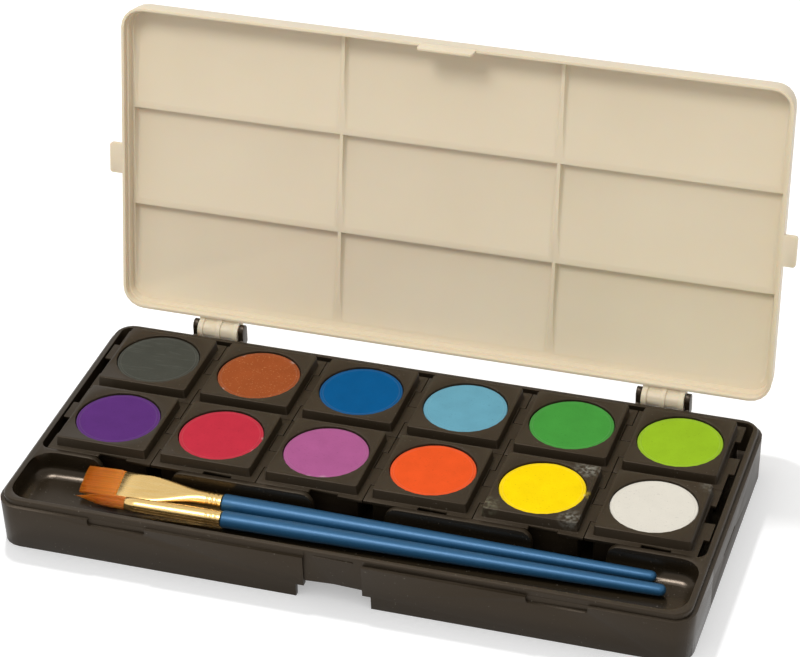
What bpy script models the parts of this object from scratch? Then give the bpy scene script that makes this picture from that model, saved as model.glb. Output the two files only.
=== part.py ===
"""A plastic gouache box: a dark tray with twelve lift-out pans, a cream mixing lid and two brushes.

Metres, +Z up. +Y points to the hinges and +X to the right, seen from the front.
The model is drawn about the middle of the tray. The empty it hangs on then moves it, so that the
origin is the middle of the back wall's foot, on the surface that the box stands on.
The lid stands open, and its origin is on the hinge axis. Each brush hangs on an empty of its own.
"""

import math

import bmesh
import bpy
from mathutils import Matrix, Vector

MM = 0.001
CLEAR = 0.3 * MM
OVERRUN = 2 * MM
HAIR = 0.02 * MM
SMOOTH_ANGLE = math.radians(32)

# Tray
TRAY_HEIGHT = 19.1 * MM
TRAY_CORNER = 8 * MM
TRAY_DRAFT = 0.6 * MM
SHOULDER_WIDTH = 1.4 * MM
LIP_HEIGHT = 2.2 * MM
LIP_THICKNESS = 2 * MM
LIP_ROUND = 0.4 * MM
SKIRT_THICKNESS = 1.8 * MM
FLOOR_THICKNESS = 1.4 * MM
CORNER_STEPS = 5
TURN_STEPS = 3
CORNERS = ((1, 1), (-1, 1), (-1, -1), (1, -1))

# Pan well and brush trough
WELL_DEPTH = 12.1 * MM
WELL_CORNER = 3.5 * MM
WELL_SIDE_SPARE = 0.6 * MM
WELL_BACK_SPARE = 0.4 * MM
TROUGH_WIDTH = 27.9 * MM
TROUGH_DEPTH = 8.8 * MM
TROUGH_CORNER = 7.5 * MM
TROUGH_COVE = 4 * MM
COVE_STEPS = 4
DIVIDER_THICKNESS = 2 * MM
FINGER_GAP_WIDTH = 26 * MM
FINGER_GAP_ROUND = 4.5 * MM
FINGER_GAP_SHIFT = 4.5 * MM

# Front of the tray
RECESS_WIDTH = 20.7 * MM
RECESS_BITE = 0.2 * MM
CATCH_WIDTH = 14 * MM
CATCH_HEIGHT = 0.6 * MM
CATCH_REACH = 0.3 * MM
CATCH_DROP = 1.7 * MM
FOOT_NOTCH_WIDTH = 26.6 * MM
FOOT_NOTCH_STEP = 5 * MM
FOOT_NOTCH_HEIGHT = 6.4 * MM
FOOT_NOTCH_RISE = 0.5 * MM
DIP_INSET = 45.4 * MM
DIP_WIDTH = 21 * MM
DIP_DEPTH = 2.4 * MM
DIP_LEDGE = 0.1 * MM
DIP_ROUND = 1.2 * MM
SIDE_SLOT_LENGTH = 18 * MM
SIDE_SLOT_WIDTH = 0.9 * MM
SIDE_SLOT_DEPTH = 1 * MM
SIDE_SLOT_HEIGHT = 8.6 * MM

# Hinges
HINGE_BACK = 4.8 * MM
HINGE_HEIGHT = 18.3 * MM
HINGE_INSET = 38.3 * MM
OPEN_ANGLE = math.radians(100)
KNUCKLE_WIDTH = 15.5 * MM
KNUCKLE_RADIUS = 3.7 * MM
KNUCKLE_FOOT = 0.6 * MM
RIB_WIDTH = 1.9 * MM
PANEL_RECESS = 0.5 * MM
PANEL_TOP_RECESS = 0.4 * MM
ARM_LIFT = 0.4 * MM
PIN_RADIUS = 1.2 * MM
PIN_REACH = 1.1 * MM
EAR_RADIUS = 2.3 * MM
EAR_CROWN = 1.2 * MM
EAR_HEEL = 4 * MM
EAR_THICKNESS = 1.8 * MM
EAR_ROOT = 1 * MM
EAR_DROP = 9.3 * MM
ROUND_STEPS = 16

# Lid
LID_DEPTH = 11 * MM
LID_WALL = 1.8 * MM
LID_RIM = 1 * MM
LID_REBATE = 2.5 * MM
LID_DRAFT = 0.5 * MM
LID_ROUND = 3.5 * MM
LID_ROUND_STEPS = 3
RIDGE_LEVEL = 6 * MM
WELL_SHALLOW = 6.1 * MM
WELL_DEEP = 9.2 * MM
WELL_MARGIN = 0.8 * MM
WELL_COVE = 2 * MM
WELL_COVE_STEPS = 3
RIDGE_THICKNESS = 1.2 * MM
STEP_THICKNESS = 0.6 * MM
LID_COLUMNS = 3
LID_ROWS = 3
LATCH_TAB_DROP = 5 * MM
LATCH_TAB_ROUND = 1 * MM
SIDE_TAB_LENGTH = 11.6 * MM
SIDE_TAB_REACH = 4.8 * MM
SIDE_TAB_THICKNESS = 1.4 * MM
SIDE_TAB_ROUND = 1 * MM
SIDE_TAB_ROOT = 0.5 * MM

# Pans
PAN_PITCH = 39 * MM
PAN_COLUMNS = 6
PAN_ROWS = 2
FLANGE_THICKNESS = 1.2 * MM
FLANGE_DROP = 0.2 * MM
JOG_LENGTH = 9.6 * MM
JOG_REACH = 2 * MM
FRONT_NOTCH_START = 0.2 * MM
FRONT_NOTCH_LENGTH = 10 * MM
FRONT_NOTCH_DEPTH = 1.6 * MM
BLOCK_SIDE_GAP = 5.7 * MM
BLOCK_END_GAP = 5.2 * MM
BLOCK_HEIGHT = 3.6 * MM
BLOCK_DRAFT = 0.3 * MM
BLOCK_CORNER = 1 * MM
CUP_WALL = 1.35 * MM
CUP_DEPTH = 6 * MM
CUP_FLOOR = 1.2 * MM
PAN_SKIRT_GAP = 5 * MM
PAN_SKIRT_WALL = 1.2 * MM
PAN_CORNER_STEPS = 2

# Paint tablets
PAINT_RECESS = 0.4 * MM
PAINT_BEVEL = 0.4 * MM
PAINT_RING_WIDTH = 1 * MM
PAINT_RING_HEIGHT = 0.25 * MM
PAINT_STEPS = 26

# Brushes: lengths run along the brush from the mouth of its ferrule. Its ends are placed from the trough's
# left wall, from the divider and from the trough's floor.
MOUTH_SOCKET = 2 * MM
FERRULE_WALL = 0.3 * MM
CRIMP_DEPTH = 0.2 * MM
CRIMP_WIDTH = 0.9 * MM
CRIMP_PITCH = 1.7 * MM
CRIMP_COUNT = 3
CRIMP_INSET = 1.2 * MM
TENON_LENGTH = 9 * MM
HANDLE_ROUND = 0.5 * MM
HANDLE_STEPS = 16
FERRULE_STEPS = 20
SLICE_THICKNESS = 1.4 * MM
STRAND_GAP_SHARE = 0.16
STRAND_TIP_SHARE = 0.6
ROUND_POWER = 2
FLAT_POWER = 5
TAPER_SHARES = (1 / 3, 2 / 3, 1)
HANDLE_STRAIGHT_SHARE = 1 / 3
DOME_SHARES = (1 / 3, 2 / 3)
DOME_TIP_SHARE = 0.14

FLAT_FERRULE_LENGTH = 37.5 * MM
FLAT_MOUTH_WIDTH = 11.2 * MM
FLAT_MOUTH_THICKNESS = 3 * MM
FLAT_STRAIGHT = 7 * MM
FLAT_TAPER_END = 30.5 * MM
FLAT_NECK_RADIUS = 2.8 * MM
FLAT_HANDLE_LENGTH = 153 * MM
FLAT_HANDLE_RADIUS = 3 * MM
FLAT_HANDLE_END_RADIUS = 2.2 * MM
FLAT_TUFT_LENGTH = 14.3 * MM
FLAT_TIP_WIDTH = 11 * MM
FLAT_TIP_THICKNESS = 1.1 * MM
FLAT_STRAND_COLUMNS = 23
FLAT_STRAND_ROWS = 7
FLAT_MOUTH_AT = (33.9 * MM, 5.8 * MM, 4 * MM)
FLAT_END_AT = (224.1 * MM, 4.1 * MM, 2.5 * MM)
FLAT_ROLL = math.radians(18)

ROUND_FERRULE_LENGTH = 34.9 * MM
ROUND_MOUTH_RADIUS = 2.3 * MM
ROUND_NECK_RADIUS = 2.6 * MM
ROUND_HANDLE_LENGTH = 155 * MM
ROUND_HANDLE_RADIUS = 2.95 * MM
ROUND_HANDLE_END_RADIUS = 2.2 * MM
ROUND_TUFT_LENGTH = 18.9 * MM
ROUND_BELLY_RADIUS = 2.25 * MM
ROUND_TIP_RADIUS = 0.45 * MM
ROUND_STRAND_COLUMNS = 12
ROUND_STRAND_ROWS = 12
ROUND_POINT_SHARE = 0.4
ROUND_MOUTH_AT = (39.3 * MM, 15.2 * MM, 3.95 * MM)
ROUND_END_AT = (229.1 * MM, 10.5 * MM, 2.5 * MM)

# What follows from the sizes above
LIP_INSET = SHOULDER_WIDTH + LIP_THICKNESS
WELL_SIDE_SLACK = JOG_REACH + WELL_SIDE_SPARE
WELL_BACK_SLACK = FRONT_NOTCH_DEPTH + WELL_BACK_SPARE
TRAY_WIDTH = PAN_COLUMNS * PAN_PITCH + 2 * (WELL_SIDE_SLACK + LIP_INSET)
PAN_ROOM = WELL_BACK_SLACK + PAN_ROWS * PAN_PITCH + CLEAR
TRAY_DEPTH = PAN_ROOM + DIVIDER_THICKNESS + TROUGH_WIDTH + 2 * LIP_INSET
BLOCK_WIDTH = PAN_PITCH - BLOCK_SIDE_GAP
BLOCK_LENGTH = PAN_PITCH - BLOCK_END_GAP
CUP_RADIUS = BLOCK_WIDTH / 2 - CUP_WALL
PAN_SKIRT_WIDTH = PAN_PITCH - PAN_SKIRT_GAP
HINGE_PLACE = TRAY_WIDTH / 2 - HINGE_INSET
DIP_PLACE = TRAY_WIDTH / 2 - DIP_INSET
RIM_Z = TRAY_HEIGHT
SHOULDER_Z = TRAY_HEIGHT - LIP_HEIGHT
WELL_FLOOR_Z = RIM_Z - WELL_DEPTH
TROUGH_FLOOR_Z = RIM_Z - TROUGH_DEPTH
FLANGE_Z = RIM_Z - FLANGE_DROP
BLOCK_Z = FLANGE_Z + BLOCK_HEIGHT
WELL_BACK_Y = TRAY_DEPTH / 2 - LIP_INSET
PANS_BACK_Y = WELL_BACK_Y - WELL_BACK_SLACK
PANS_FRONT_Y = PANS_BACK_Y - PAN_ROWS * PAN_PITCH
DIVIDER_BACK_Y = PANS_FRONT_Y - CLEAR
DIVIDER_FRONT_Y = DIVIDER_BACK_Y - DIVIDER_THICKNESS
TROUGH_FRONT_Y = DIVIDER_FRONT_Y - TROUGH_WIDTH
TROUGH_LEFT_X = LIP_INSET - TRAY_WIDTH / 2
HINGE_AXIS = Vector((0, TRAY_DEPTH / 2 + HINGE_BACK, HINGE_HEIGHT))
LID_Z = SHOULDER_Z + CLEAR
FOOT_Y = TRAY_DEPTH / 2 - TRAY_DRAFT - SKIRT_THICKNESS / 2

BACK_ROW = ("grey", "brown", "blue", "sky", "green", "lime")
FRONT_ROW = ("violet", "crimson", "magenta", "orange", "yellow", "white")
PAINT_COLOURS = {
    "grey": (0.061, 0.064, 0.052),
    "brown": (0.332, 0.077, 0.019),
    "blue": (0.0, 0.091, 0.262),
    "sky": (0.136, 0.366, 0.479),
    "green": (0.056, 0.305, 0.03),
    "lime": (0.305, 0.515, 0.018),
    "violet": (0.098, 0.026, 0.168),
    "crimson": (0.509, 0.027, 0.051),
    "magenta": (0.386, 0.1, 0.258),
    "orange": (0.807, 0.091, 0.016),
    "yellow": (0.956, 0.679, 0.0),
    "white": (0.73, 0.694, 0.61),
}


def material(name, colour, roughness, metallic=0.0):
    """A Principled BSDF of one colour."""
    made = bpy.data.materials.new(name)
    made.use_nodes = True
    shader = made.node_tree.nodes["Principled BSDF"]
    shader.inputs["Base Color"].default_value = (*colour, 1)
    shader.inputs["Roughness"].default_value = roughness
    shader.inputs["Metallic"].default_value = metallic
    return made


def clear_scene():
    """Removes whatever the file starts with."""
    for item in list(bpy.data.objects):
        bpy.data.objects.remove(item)


def mesh_of(name, build):
    """A mesh filled by the function build, with its faces turned outwards and its curved sides smooth."""
    shape = bmesh.new()
    build(shape)
    bmesh.ops.recalc_face_normals(shape, faces=shape.faces)
    mesh = bpy.data.meshes.new(name)
    shape.to_mesh(mesh)
    shape.free()
    return mesh


def smooth(mesh):
    """Smooth shading that keeps the sharp edges."""
    mesh.shade_smooth()
    mesh.set_sharp_from_angle(angle=SMOOTH_ANGLE)


def loft(name, rings):
    """A closed body through rings that have as many points each, with flat ends."""

    def build(shape):
        loops = [[shape.verts.new(point) for point in ring] for ring in rings]
        for low, high in zip(loops, loops[1:]):
            for i in range(len(low)):
                j = (i + 1) % len(low)
                shape.faces.new((low[i], low[j], high[j], high[i]))
        shape.faces.new(reversed(loops[0]))
        shape.faces.new(loops[-1])

    return mesh_of(name, build)


def rounded(width, length, radius, z, middle=(0, 0), steps=CORNER_STEPS):
    """The points of a rectangle with round corners, at height z."""
    points = []
    for quarter, (sign_x, sign_y) in enumerate(CORNERS):
        for step in range(steps + 1):
            angle = math.pi / 2 * (quarter + step / steps)
            x = middle[0] + sign_x * (width / 2 - radius) + radius * math.cos(angle)
            y = middle[1] + sign_y * (length / 2 - radius) + radius * math.sin(angle)
            points.append((x, y, z))
    return points


def arc(middle, radius, start, end, steps):
    """Points of an arc in a plane, from the angle start to the angle end."""
    angles = [start + (end - start) * step / steps for step in range(steps + 1)]
    return [(middle[0] + radius * math.cos(a), middle[1] + radius * math.sin(a)) for a in angles]


def box_outline(low, high):
    """The four corners of a flat rectangle."""
    return [(low[0], low[1]), (high[0], low[1]), (high[0], high[1]), (low[0], high[1])]


def prism(name, outline, axis, start, end):
    """An outline drawn square to an axis, extruded from start to end along it."""
    spots = {
        "X": lambda point, along: (along, point[0], point[1]),
        "Y": lambda point, along: (point[0], along, point[1]),
        "Z": lambda point, along: (point[0], point[1], along),
    }
    return loft(name, [[spots[axis](point, along) for point in outline] for along in (start, end)])


def helper(mesh, group):
    """A hidden object that a Boolean reads, in its own collection."""
    made = bpy.data.objects.new(mesh.name, mesh)
    made.hide_render = True
    made.display_type = "WIRE"
    group.objects.link(made)
    return made


def combine(name, body, added, cut):
    """The mesh of body with the meshes added joined on and the meshes cut taken out."""
    bench = bpy.data.collections.new(name + "_bench")
    bpy.context.scene.collection.children.link(bench)
    start = helper(body, bench)
    for operation, meshes in (("UNION", added), ("DIFFERENCE", cut)):
        if not meshes:
            continue
        group = bpy.data.collections.new(name + "_" + operation.lower())
        bench.children.link(group)
        for mesh in meshes:
            helper(mesh, group)
        step = start.modifiers.new(operation.lower(), "BOOLEAN")
        step.operation = operation
        step.operand_type = "COLLECTION"
        step.collection = group
        step.solver = "EXACT"
    graph = bpy.context.evaluated_depsgraph_get()
    result = bpy.data.meshes.new_from_object(start.evaluated_get(graph))
    result.name = name
    for item in list(bench.all_objects):
        bpy.data.objects.remove(item)
    for group in list(bench.children):
        bpy.data.collections.remove(group)
    bpy.data.collections.remove(bench)
    return result


def place(name, mesh, look, location=(0, 0, 0), parent=None):
    """One named piece of the model."""
    smooth(mesh)
    if not mesh.materials:
        mesh.materials.append(look)
    made = bpy.data.objects.new(name, mesh)
    made.location = location
    made.parent = parent
    bpy.context.scene.collection.objects.link(made)
    return made


def tray_body():
    """The drafted outer wall with its shoulder and the raised lip that the lid drops over."""
    levels = [
        (0, 2 * TRAY_DRAFT),
        (SHOULDER_Z, 0),
        (SHOULDER_Z, 2 * SHOULDER_WIDTH),
        (RIM_Z - LIP_ROUND, 2 * SHOULDER_WIDTH),
        (RIM_Z, 2 * SHOULDER_WIDTH + 2 * LIP_ROUND),
    ]
    rings = []
    for z, inset in levels:
        corner = TRAY_CORNER - inset / 2
        rings.append(rounded(TRAY_WIDTH - inset, TRAY_DEPTH - inset, corner, z))
    return loft("tray_body", rings)


def ear_outline():
    """The side view of a hinge ear: an upright bar with a round top, on a root in the back wall."""
    middle = (HINGE_AXIS.y, HINGE_AXIS.z + EAR_CROWN)
    root_y = TRAY_DEPTH / 2 - EAR_ROOT
    front_y = HINGE_AXIS.y - EAR_RADIUS
    outline = [(HINGE_AXIS.y + EAR_RADIUS, HINGE_AXIS.z - EAR_HEEL)]
    outline += arc(middle, EAR_RADIUS, 0, math.pi, ROUND_STEPS)
    outline.append((front_y, SHOULDER_Z - CLEAR))
    outline.append((root_y, SHOULDER_Z - EAR_ROOT - CLEAR))
    outline.append((root_y, HINGE_AXIS.z - EAR_DROP))
    return outline


def ears():
    """The four hinge ears, a pair round each knuckle."""
    made = []
    inner = KNUCKLE_WIDTH / 2 + CLEAR
    outer = inner + EAR_THICKNESS
    for side in (-1, 1):
        for hand in (-1, 1):
            start = side * HINGE_PLACE + hand * inner
            end = side * HINGE_PLACE + hand * outer
            made.append(prism("ear", ear_outline(), "X", min(start, end), max(start, end)))
    return made


def pin_holes():
    """The blind bores in the facing sides of the ears."""
    middle = (HINGE_AXIS.y, HINGE_AXIS.z)
    outline = arc(middle, PIN_RADIUS + CLEAR, 0, math.tau, ROUND_STEPS)[:-1]
    reach = KNUCKLE_WIDTH / 2 + CLEAR + PIN_REACH
    places = (-HINGE_PLACE, HINGE_PLACE)
    return [prism("pin_hole", outline, "X", x - reach, x + reach) for x in places]


def pan_well():
    """The compartment that the pans stand in."""
    width = TRAY_WIDTH - 2 * LIP_INSET
    length = WELL_BACK_Y - DIVIDER_BACK_Y
    middle = (0, (WELL_BACK_Y + DIVIDER_BACK_Y) / 2)
    ends = (WELL_FLOOR_Z, RIM_Z + OVERRUN)
    return loft("pan_well", [rounded(width, length, WELL_CORNER, z, middle) for z in ends])


def trough():
    """The brush compartment, whose walls run into its floor in a cove."""
    width = TRAY_WIDTH - 2 * LIP_INSET
    length = DIVIDER_FRONT_Y - TROUGH_FRONT_Y
    middle = (0, (DIVIDER_FRONT_Y + TROUGH_FRONT_Y) / 2)
    rings = []
    for step in range(COVE_STEPS + 1):
        angle = math.pi / 2 * step / COVE_STEPS
        inset = 2 * TROUGH_COVE * (1 - math.sin(angle))
        z = TROUGH_FLOOR_Z + TROUGH_COVE * (1 - math.cos(angle))
        corner = TROUGH_CORNER - inset / 2
        rings.append(rounded(width - inset, length - inset, corner, z, middle))
    rings.append(rounded(width, length, TROUGH_CORNER, RIM_Z + OVERRUN, middle))
    return loft("trough", rings)


def under_spaces():
    """The open space under the two floors, inside the skirt."""
    width = TRAY_WIDTH - 2 * TRAY_DRAFT - 2 * SKIRT_THICKNESS
    back_y = TRAY_DEPTH / 2 - TRAY_DRAFT - SKIRT_THICKNESS
    spans = [
        (DIVIDER_FRONT_Y, back_y, WELL_FLOOR_Z - FLOOR_THICKNESS),
        (-back_y, DIVIDER_FRONT_Y - FLOOR_THICKNESS, TROUGH_FLOOR_Z - FLOOR_THICKNESS),
    ]
    made = []
    for start, end, top in spans:
        middle = (0, (start + end) / 2)
        rings = [rounded(width, end - start, WELL_CORNER, z, middle) for z in (-OVERRUN, top)]
        made.append(loft("under_space", rings))
    return made


def finger_gaps():
    """The three gaps in the divider, with round shoulders at their mouths."""
    made = []
    half = FINGER_GAP_WIDTH / 2
    bend = half + FINGER_GAP_ROUND
    bend_z = RIM_Z - FINGER_GAP_ROUND
    top = RIM_Z + OVERRUN
    for seam in range(-1, 2):
        middle = 2 * seam * PAN_PITCH - FINGER_GAP_SHIFT
        outline = [(middle - half, TROUGH_FLOOR_Z), (middle + half, TROUGH_FLOOR_Z)]
        outline += arc((middle + bend, bend_z), FINGER_GAP_ROUND, math.pi, math.pi / 2, COVE_STEPS)
        outline += [(middle + bend, top), (middle - bend, top)]
        outline += arc((middle - bend, bend_z), FINGER_GAP_ROUND, math.pi / 2, 0, COVE_STEPS)
        start = DIVIDER_FRONT_Y - TROUGH_COVE - HAIR
        made.append(prism("finger_gap", outline, "Y", start, DIVIDER_BACK_Y + HAIR))
    return made


def latch_recess():
    """The flat in the front wall that the lid's latch tab slides over."""
    front_y = -TRAY_DEPTH / 2
    depth = SHOULDER_WIDTH + RECESS_BITE
    low = (-RECESS_WIDTH / 2, -OVERRUN)
    high = (RECESS_WIDTH / 2, RIM_Z + OVERRUN)
    return prism("latch_recess", box_outline(low, high), "Y", front_y - OVERRUN, front_y + depth)


def catch():
    """The small ridge on the recess that the latch tab snaps past."""
    face_y = -TRAY_DEPTH / 2 + SHOULDER_WIDTH + RECESS_BITE
    top = RIM_Z - CATCH_DROP
    low = (-CATCH_WIDTH / 2, top - CATCH_HEIGHT)
    high = (CATCH_WIDTH / 2, top)
    return prism("catch", box_outline(low, high), "Y", face_y - CATCH_REACH, face_y + LIP_THICKNESS / 2)


def foot_notch():
    """The stepped and slightly arched finger notch at the bottom of the front wall."""
    outer = FOOT_NOTCH_WIDTH / 2
    inner = RECESS_WIDTH / 2
    outline = [(-outer, -OVERRUN), (outer, -OVERRUN)]
    outline += [(outer, FOOT_NOTCH_STEP), (inner, FOOT_NOTCH_STEP)]
    outline += [(inner, FOOT_NOTCH_HEIGHT), (0, FOOT_NOTCH_HEIGHT + FOOT_NOTCH_RISE)]
    outline += [(-inner, FOOT_NOTCH_HEIGHT), (-inner, FOOT_NOTCH_STEP), (-outer, FOOT_NOTCH_STEP)]
    front_y = -TRAY_DEPTH / 2
    inside_y = front_y + TRAY_DRAFT + SKIRT_THICKNESS
    return prism("foot_notch", outline, "Y", front_y - OVERRUN, inside_y + OVERRUN)


def shoulder_dips():
    """The two long notches in the shoulder of the front wall."""
    made = []
    half = DIP_WIDTH / 2
    low = SHOULDER_Z - DIP_DEPTH
    high = SHOULDER_Z + OVERRUN
    front_y = -TRAY_DEPTH / 2
    for side in (-1, 1):
        middle = side * DIP_PLACE
        turn = DIP_ROUND
        outline = arc((middle - half + turn, low + turn), turn, math.pi, 1.5 * math.pi, TURN_STEPS)
        outline += arc((middle + half - turn, low + turn), turn, -math.pi / 2, 0, TURN_STEPS)
        outline += [(middle + half, high), (middle - half, high)]
        end = front_y + SHOULDER_WIDTH - DIP_LEDGE
        made.append(prism("shoulder_dip", outline, "Y", front_y - OVERRUN, end))
    return made


def side_slots():
    """The narrow round-ended slot in each side wall."""
    made = []
    radius = SIDE_SLOT_WIDTH / 2
    run = SIDE_SLOT_LENGTH / 2 - radius
    outline = arc((run, SIDE_SLOT_HEIGHT), radius, -math.pi / 2, math.pi / 2, TURN_STEPS)
    outline += arc((-run, SIDE_SLOT_HEIGHT), radius, math.pi / 2, 1.5 * math.pi, TURN_STEPS)
    outer = TRAY_WIDTH / 2
    for side in (-1, 1):
        spots = (side * (outer - SIDE_SLOT_DEPTH), side * (outer + OVERRUN))
        made.append(prism("side_slot", outline, "X", min(spots), max(spots)))
    return made


def tray():
    """The whole tray moulding."""
    cut = [pan_well(), trough(), foot_notch()]
    cut += under_spaces() + finger_gaps() + shoulder_dips() + side_slots() + pin_holes()
    base = combine("tray_base", tray_body(), [], [latch_recess()])
    return combine("tray", base, ears() + [catch()], cut)


def lid_shell():
    """The lid's outside, rim, rebate and inside, down to the level of its ridges."""
    roof = LID_Z + RIDGE_LEVEL
    step = LID_Z + LID_REBATE
    top = LID_Z + LID_DEPTH
    levels = [
        (roof, LID_WALL),
        (step, LID_WALL),
        (step, LID_RIM),
        (LID_Z, LID_RIM),
        (LID_Z, 0),
        (top - LID_ROUND, LID_DRAFT),
    ]
    for count in range(1, LID_ROUND_STEPS + 1):
        angle = math.pi / 2 * count / LID_ROUND_STEPS
        inset = LID_DRAFT + LID_ROUND * (1 - math.cos(angle))
        levels.append((top - LID_ROUND * (1 - math.sin(angle)), inset))
    rings = []
    for z, inset in levels:
        size = (TRAY_WIDTH - 2 * inset, TRAY_DEPTH - 2 * inset)
        rings.append(rounded(*size, TRAY_CORNER - inset, z))
    return loft("lid_shell", rings)


def cell_span(size, place, count, ridge):
    """The two ends of one cell in a line of cells, inside the ridges and the margin at the walls."""
    low = size * (place / count) - size / 2 + (ridge / 2 if place else WELL_MARGIN)
    high = size * ((place + 1) / count) - size / 2 - (ridge / 2 if place < count - 1 else WELL_MARGIN)
    return low, high


def mixing_well(column, row):
    """A cutter for one mixing well: deep towards the front, shallow towards the hinges, coved all round."""
    across = cell_span(TRAY_WIDTH - 2 * LID_WALL, column, LID_COLUMNS, RIDGE_THICKNESS)
    along = cell_span(TRAY_DEPTH - 2 * LID_WALL, row, LID_ROWS, STEP_THICKNESS)
    slope = (WELL_SHALLOW - WELL_DEEP) / (along[1] - along[0])

    def plan(inset):
        points = []
        corner = TRAY_CORNER - LID_WALL - WELL_MARGIN - inset
        for quarter, (sign_x, sign_y) in enumerate(CORNERS):
            x = across[sign_x > 0] - sign_x * inset
            y = along[sign_y > 0] - sign_y * inset
            outer_x = column == (LID_COLUMNS - 1 if sign_x > 0 else 0)
            outer_y = row == (LID_ROWS - 1 if sign_y > 0 else 0)
            if outer_x and outer_y:
                middle = (x - sign_x * corner, y - sign_y * corner)
                start = quarter * math.pi / 2
                points += arc(middle, corner, start, start + math.pi / 2, CORNER_STEPS)
            else:
                points.append((x, y))
        return points

    rings = [[(x, y, LID_Z) for x, y in plan(0)]]
    for step in range(WELL_COVE_STEPS + 1):
        angle = math.pi / 2 * step / WELL_COVE_STEPS
        floor_z = LID_Z + WELL_DEEP - WELL_COVE * (1 - math.sin(angle))
        outline = plan(WELL_COVE * (1 - math.cos(angle)))
        rings.append([(x, y, floor_z + slope * (y - along[0])) for x, y in outline])
    return loft("mixing_well", rings)


def knuckle(middle_x):
    """The pieces of one knuckle: three ribs, the web between them and the two stub pins."""
    axis = (HINGE_AXIS.y, HINGE_AXIS.z)
    foot_y = TRAY_DEPTH / 2 - KNUCKLE_FOOT

    def side_view(radius, lift, top):
        start = math.asin((HINGE_AXIS.z - LID_Z - lift) / radius)
        outline = arc(axis, radius, math.pi + start, 2.5 * math.pi, ROUND_STEPS)
        return [(foot_y, LID_Z + lift)] + outline + [(HINGE_AXIS.y, top), (foot_y, top)]

    made = []
    half = KNUCKLE_WIDTH / 2
    top = HINGE_AXIS.z + KNUCKLE_RADIUS
    rib = side_view(KNUCKLE_RADIUS, ARM_LIFT, top + HAIR)
    for place_x in (-half, -RIB_WIDTH / 2, half - RIB_WIDTH):
        start = middle_x + place_x
        made.append(prism("rib", rib, "X", start, start + RIB_WIDTH))
    panel_radius = KNUCKLE_RADIUS - PANEL_RECESS
    web = side_view(panel_radius, ARM_LIFT + PANEL_RECESS, top - PANEL_TOP_RECESS)
    reach = half - RIB_WIDTH / 2
    made.append(prism("web", web, "X", middle_x - reach, middle_x + reach))
    pin = arc(axis, PIN_RADIUS, 0, math.tau, ROUND_STEPS)[:-1]
    tip = half + PIN_REACH
    for hand in (-1, 1):
        ends = (middle_x + hand * reach, middle_x + hand * tip)
        made.append(prism("pin", pin, "X", min(ends), max(ends)))
    return made


def latch_tab():
    """The tongue under the lid's front edge that closes over the tray."""
    half = RECESS_WIDTH / 2 - CLEAR
    low = LID_Z - LATCH_TAB_DROP
    turn = LATCH_TAB_ROUND
    outline = arc((-half + turn, low + turn), turn, math.pi, 1.5 * math.pi, TURN_STEPS)
    outline += arc((half - turn, low + turn), turn, -math.pi / 2, 0, TURN_STEPS)
    outline += [(half, LID_Z + LID_REBATE / 2), (-half, LID_Z + LID_REBATE / 2)]
    front_y = -TRAY_DEPTH / 2
    return prism("latch_tab", outline, "Y", front_y + HAIR, front_y + LID_RIM - HAIR)


def side_tabs():
    """The flat lifting tab at the middle of each end of the lid."""
    made = []
    half = SIDE_TAB_LENGTH / 2
    turn = SIDE_TAB_ROUND
    root = TRAY_WIDTH / 2 - SIDE_TAB_ROOT
    end = TRAY_WIDTH / 2 + SIDE_TAB_REACH
    for side in (-1, 1):
        outline = [(root, -half)]
        outline += arc((end - turn, -half + turn), turn, -math.pi / 2, 0, TURN_STEPS)
        outline += arc((end - turn, half - turn), turn, 0, math.pi / 2, TURN_STEPS)
        outline.append((root, half))
        outline = [(side * x, y) for x, y in outline]
        made.append(prism("side_tab", outline, "Z", LID_Z + HAIR, LID_Z + SIDE_TAB_THICKNESS))
    return made


def lid():
    """The whole lid moulding, drawn shut and moved so that its origin is the hinge axis."""
    wells = [mixing_well(c, r) for c in range(LID_COLUMNS) for r in range(LID_ROWS)]
    added = knuckle(-HINGE_PLACE) + knuckle(HINGE_PLACE) + side_tabs() + [latch_tab()]
    mesh = combine("lid", lid_shell(), added, wells)
    mesh.transform(Matrix.Translation(-HINGE_AXIS))
    return mesh


def flange_outline():
    """The plan of a pan's flange: a tab and a notch on each side edge, a notch in front and a tab behind."""
    half = (PAN_PITCH - CLEAR) / 2
    back_tab = half + FRONT_NOTCH_DEPTH
    notch_end = FRONT_NOTCH_START + FRONT_NOTCH_LENGTH
    inside = CLEAR / 2
    jog = JOG_LENGTH
    outline = [(half, -half), (half, -jog)]
    outline += [(half + JOG_REACH, -jog), (half + JOG_REACH, -inside)]
    outline += [(half - JOG_REACH, -inside), (half - JOG_REACH, jog + CLEAR), (half, jog + CLEAR)]
    outline += [(half, half), (notch_end - inside, half), (notch_end - inside, back_tab)]
    outline += [(FRONT_NOTCH_START + inside, back_tab), (FRONT_NOTCH_START + inside, half), (-half, half)]
    outline += [(-half, jog), (-half - JOG_REACH, jog), (-half - JOG_REACH, inside)]
    outline += [(-half + JOG_REACH, inside), (-half + JOG_REACH, -jog - CLEAR), (-half, -jog - CLEAR)]
    outline += [(-half, -half), (FRONT_NOTCH_START - inside, -half)]
    notch_y = FRONT_NOTCH_DEPTH - half
    outline += [(FRONT_NOTCH_START - inside, notch_y), (notch_end + inside, notch_y)]
    outline.append((notch_end + inside, -half))
    return outline


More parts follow.
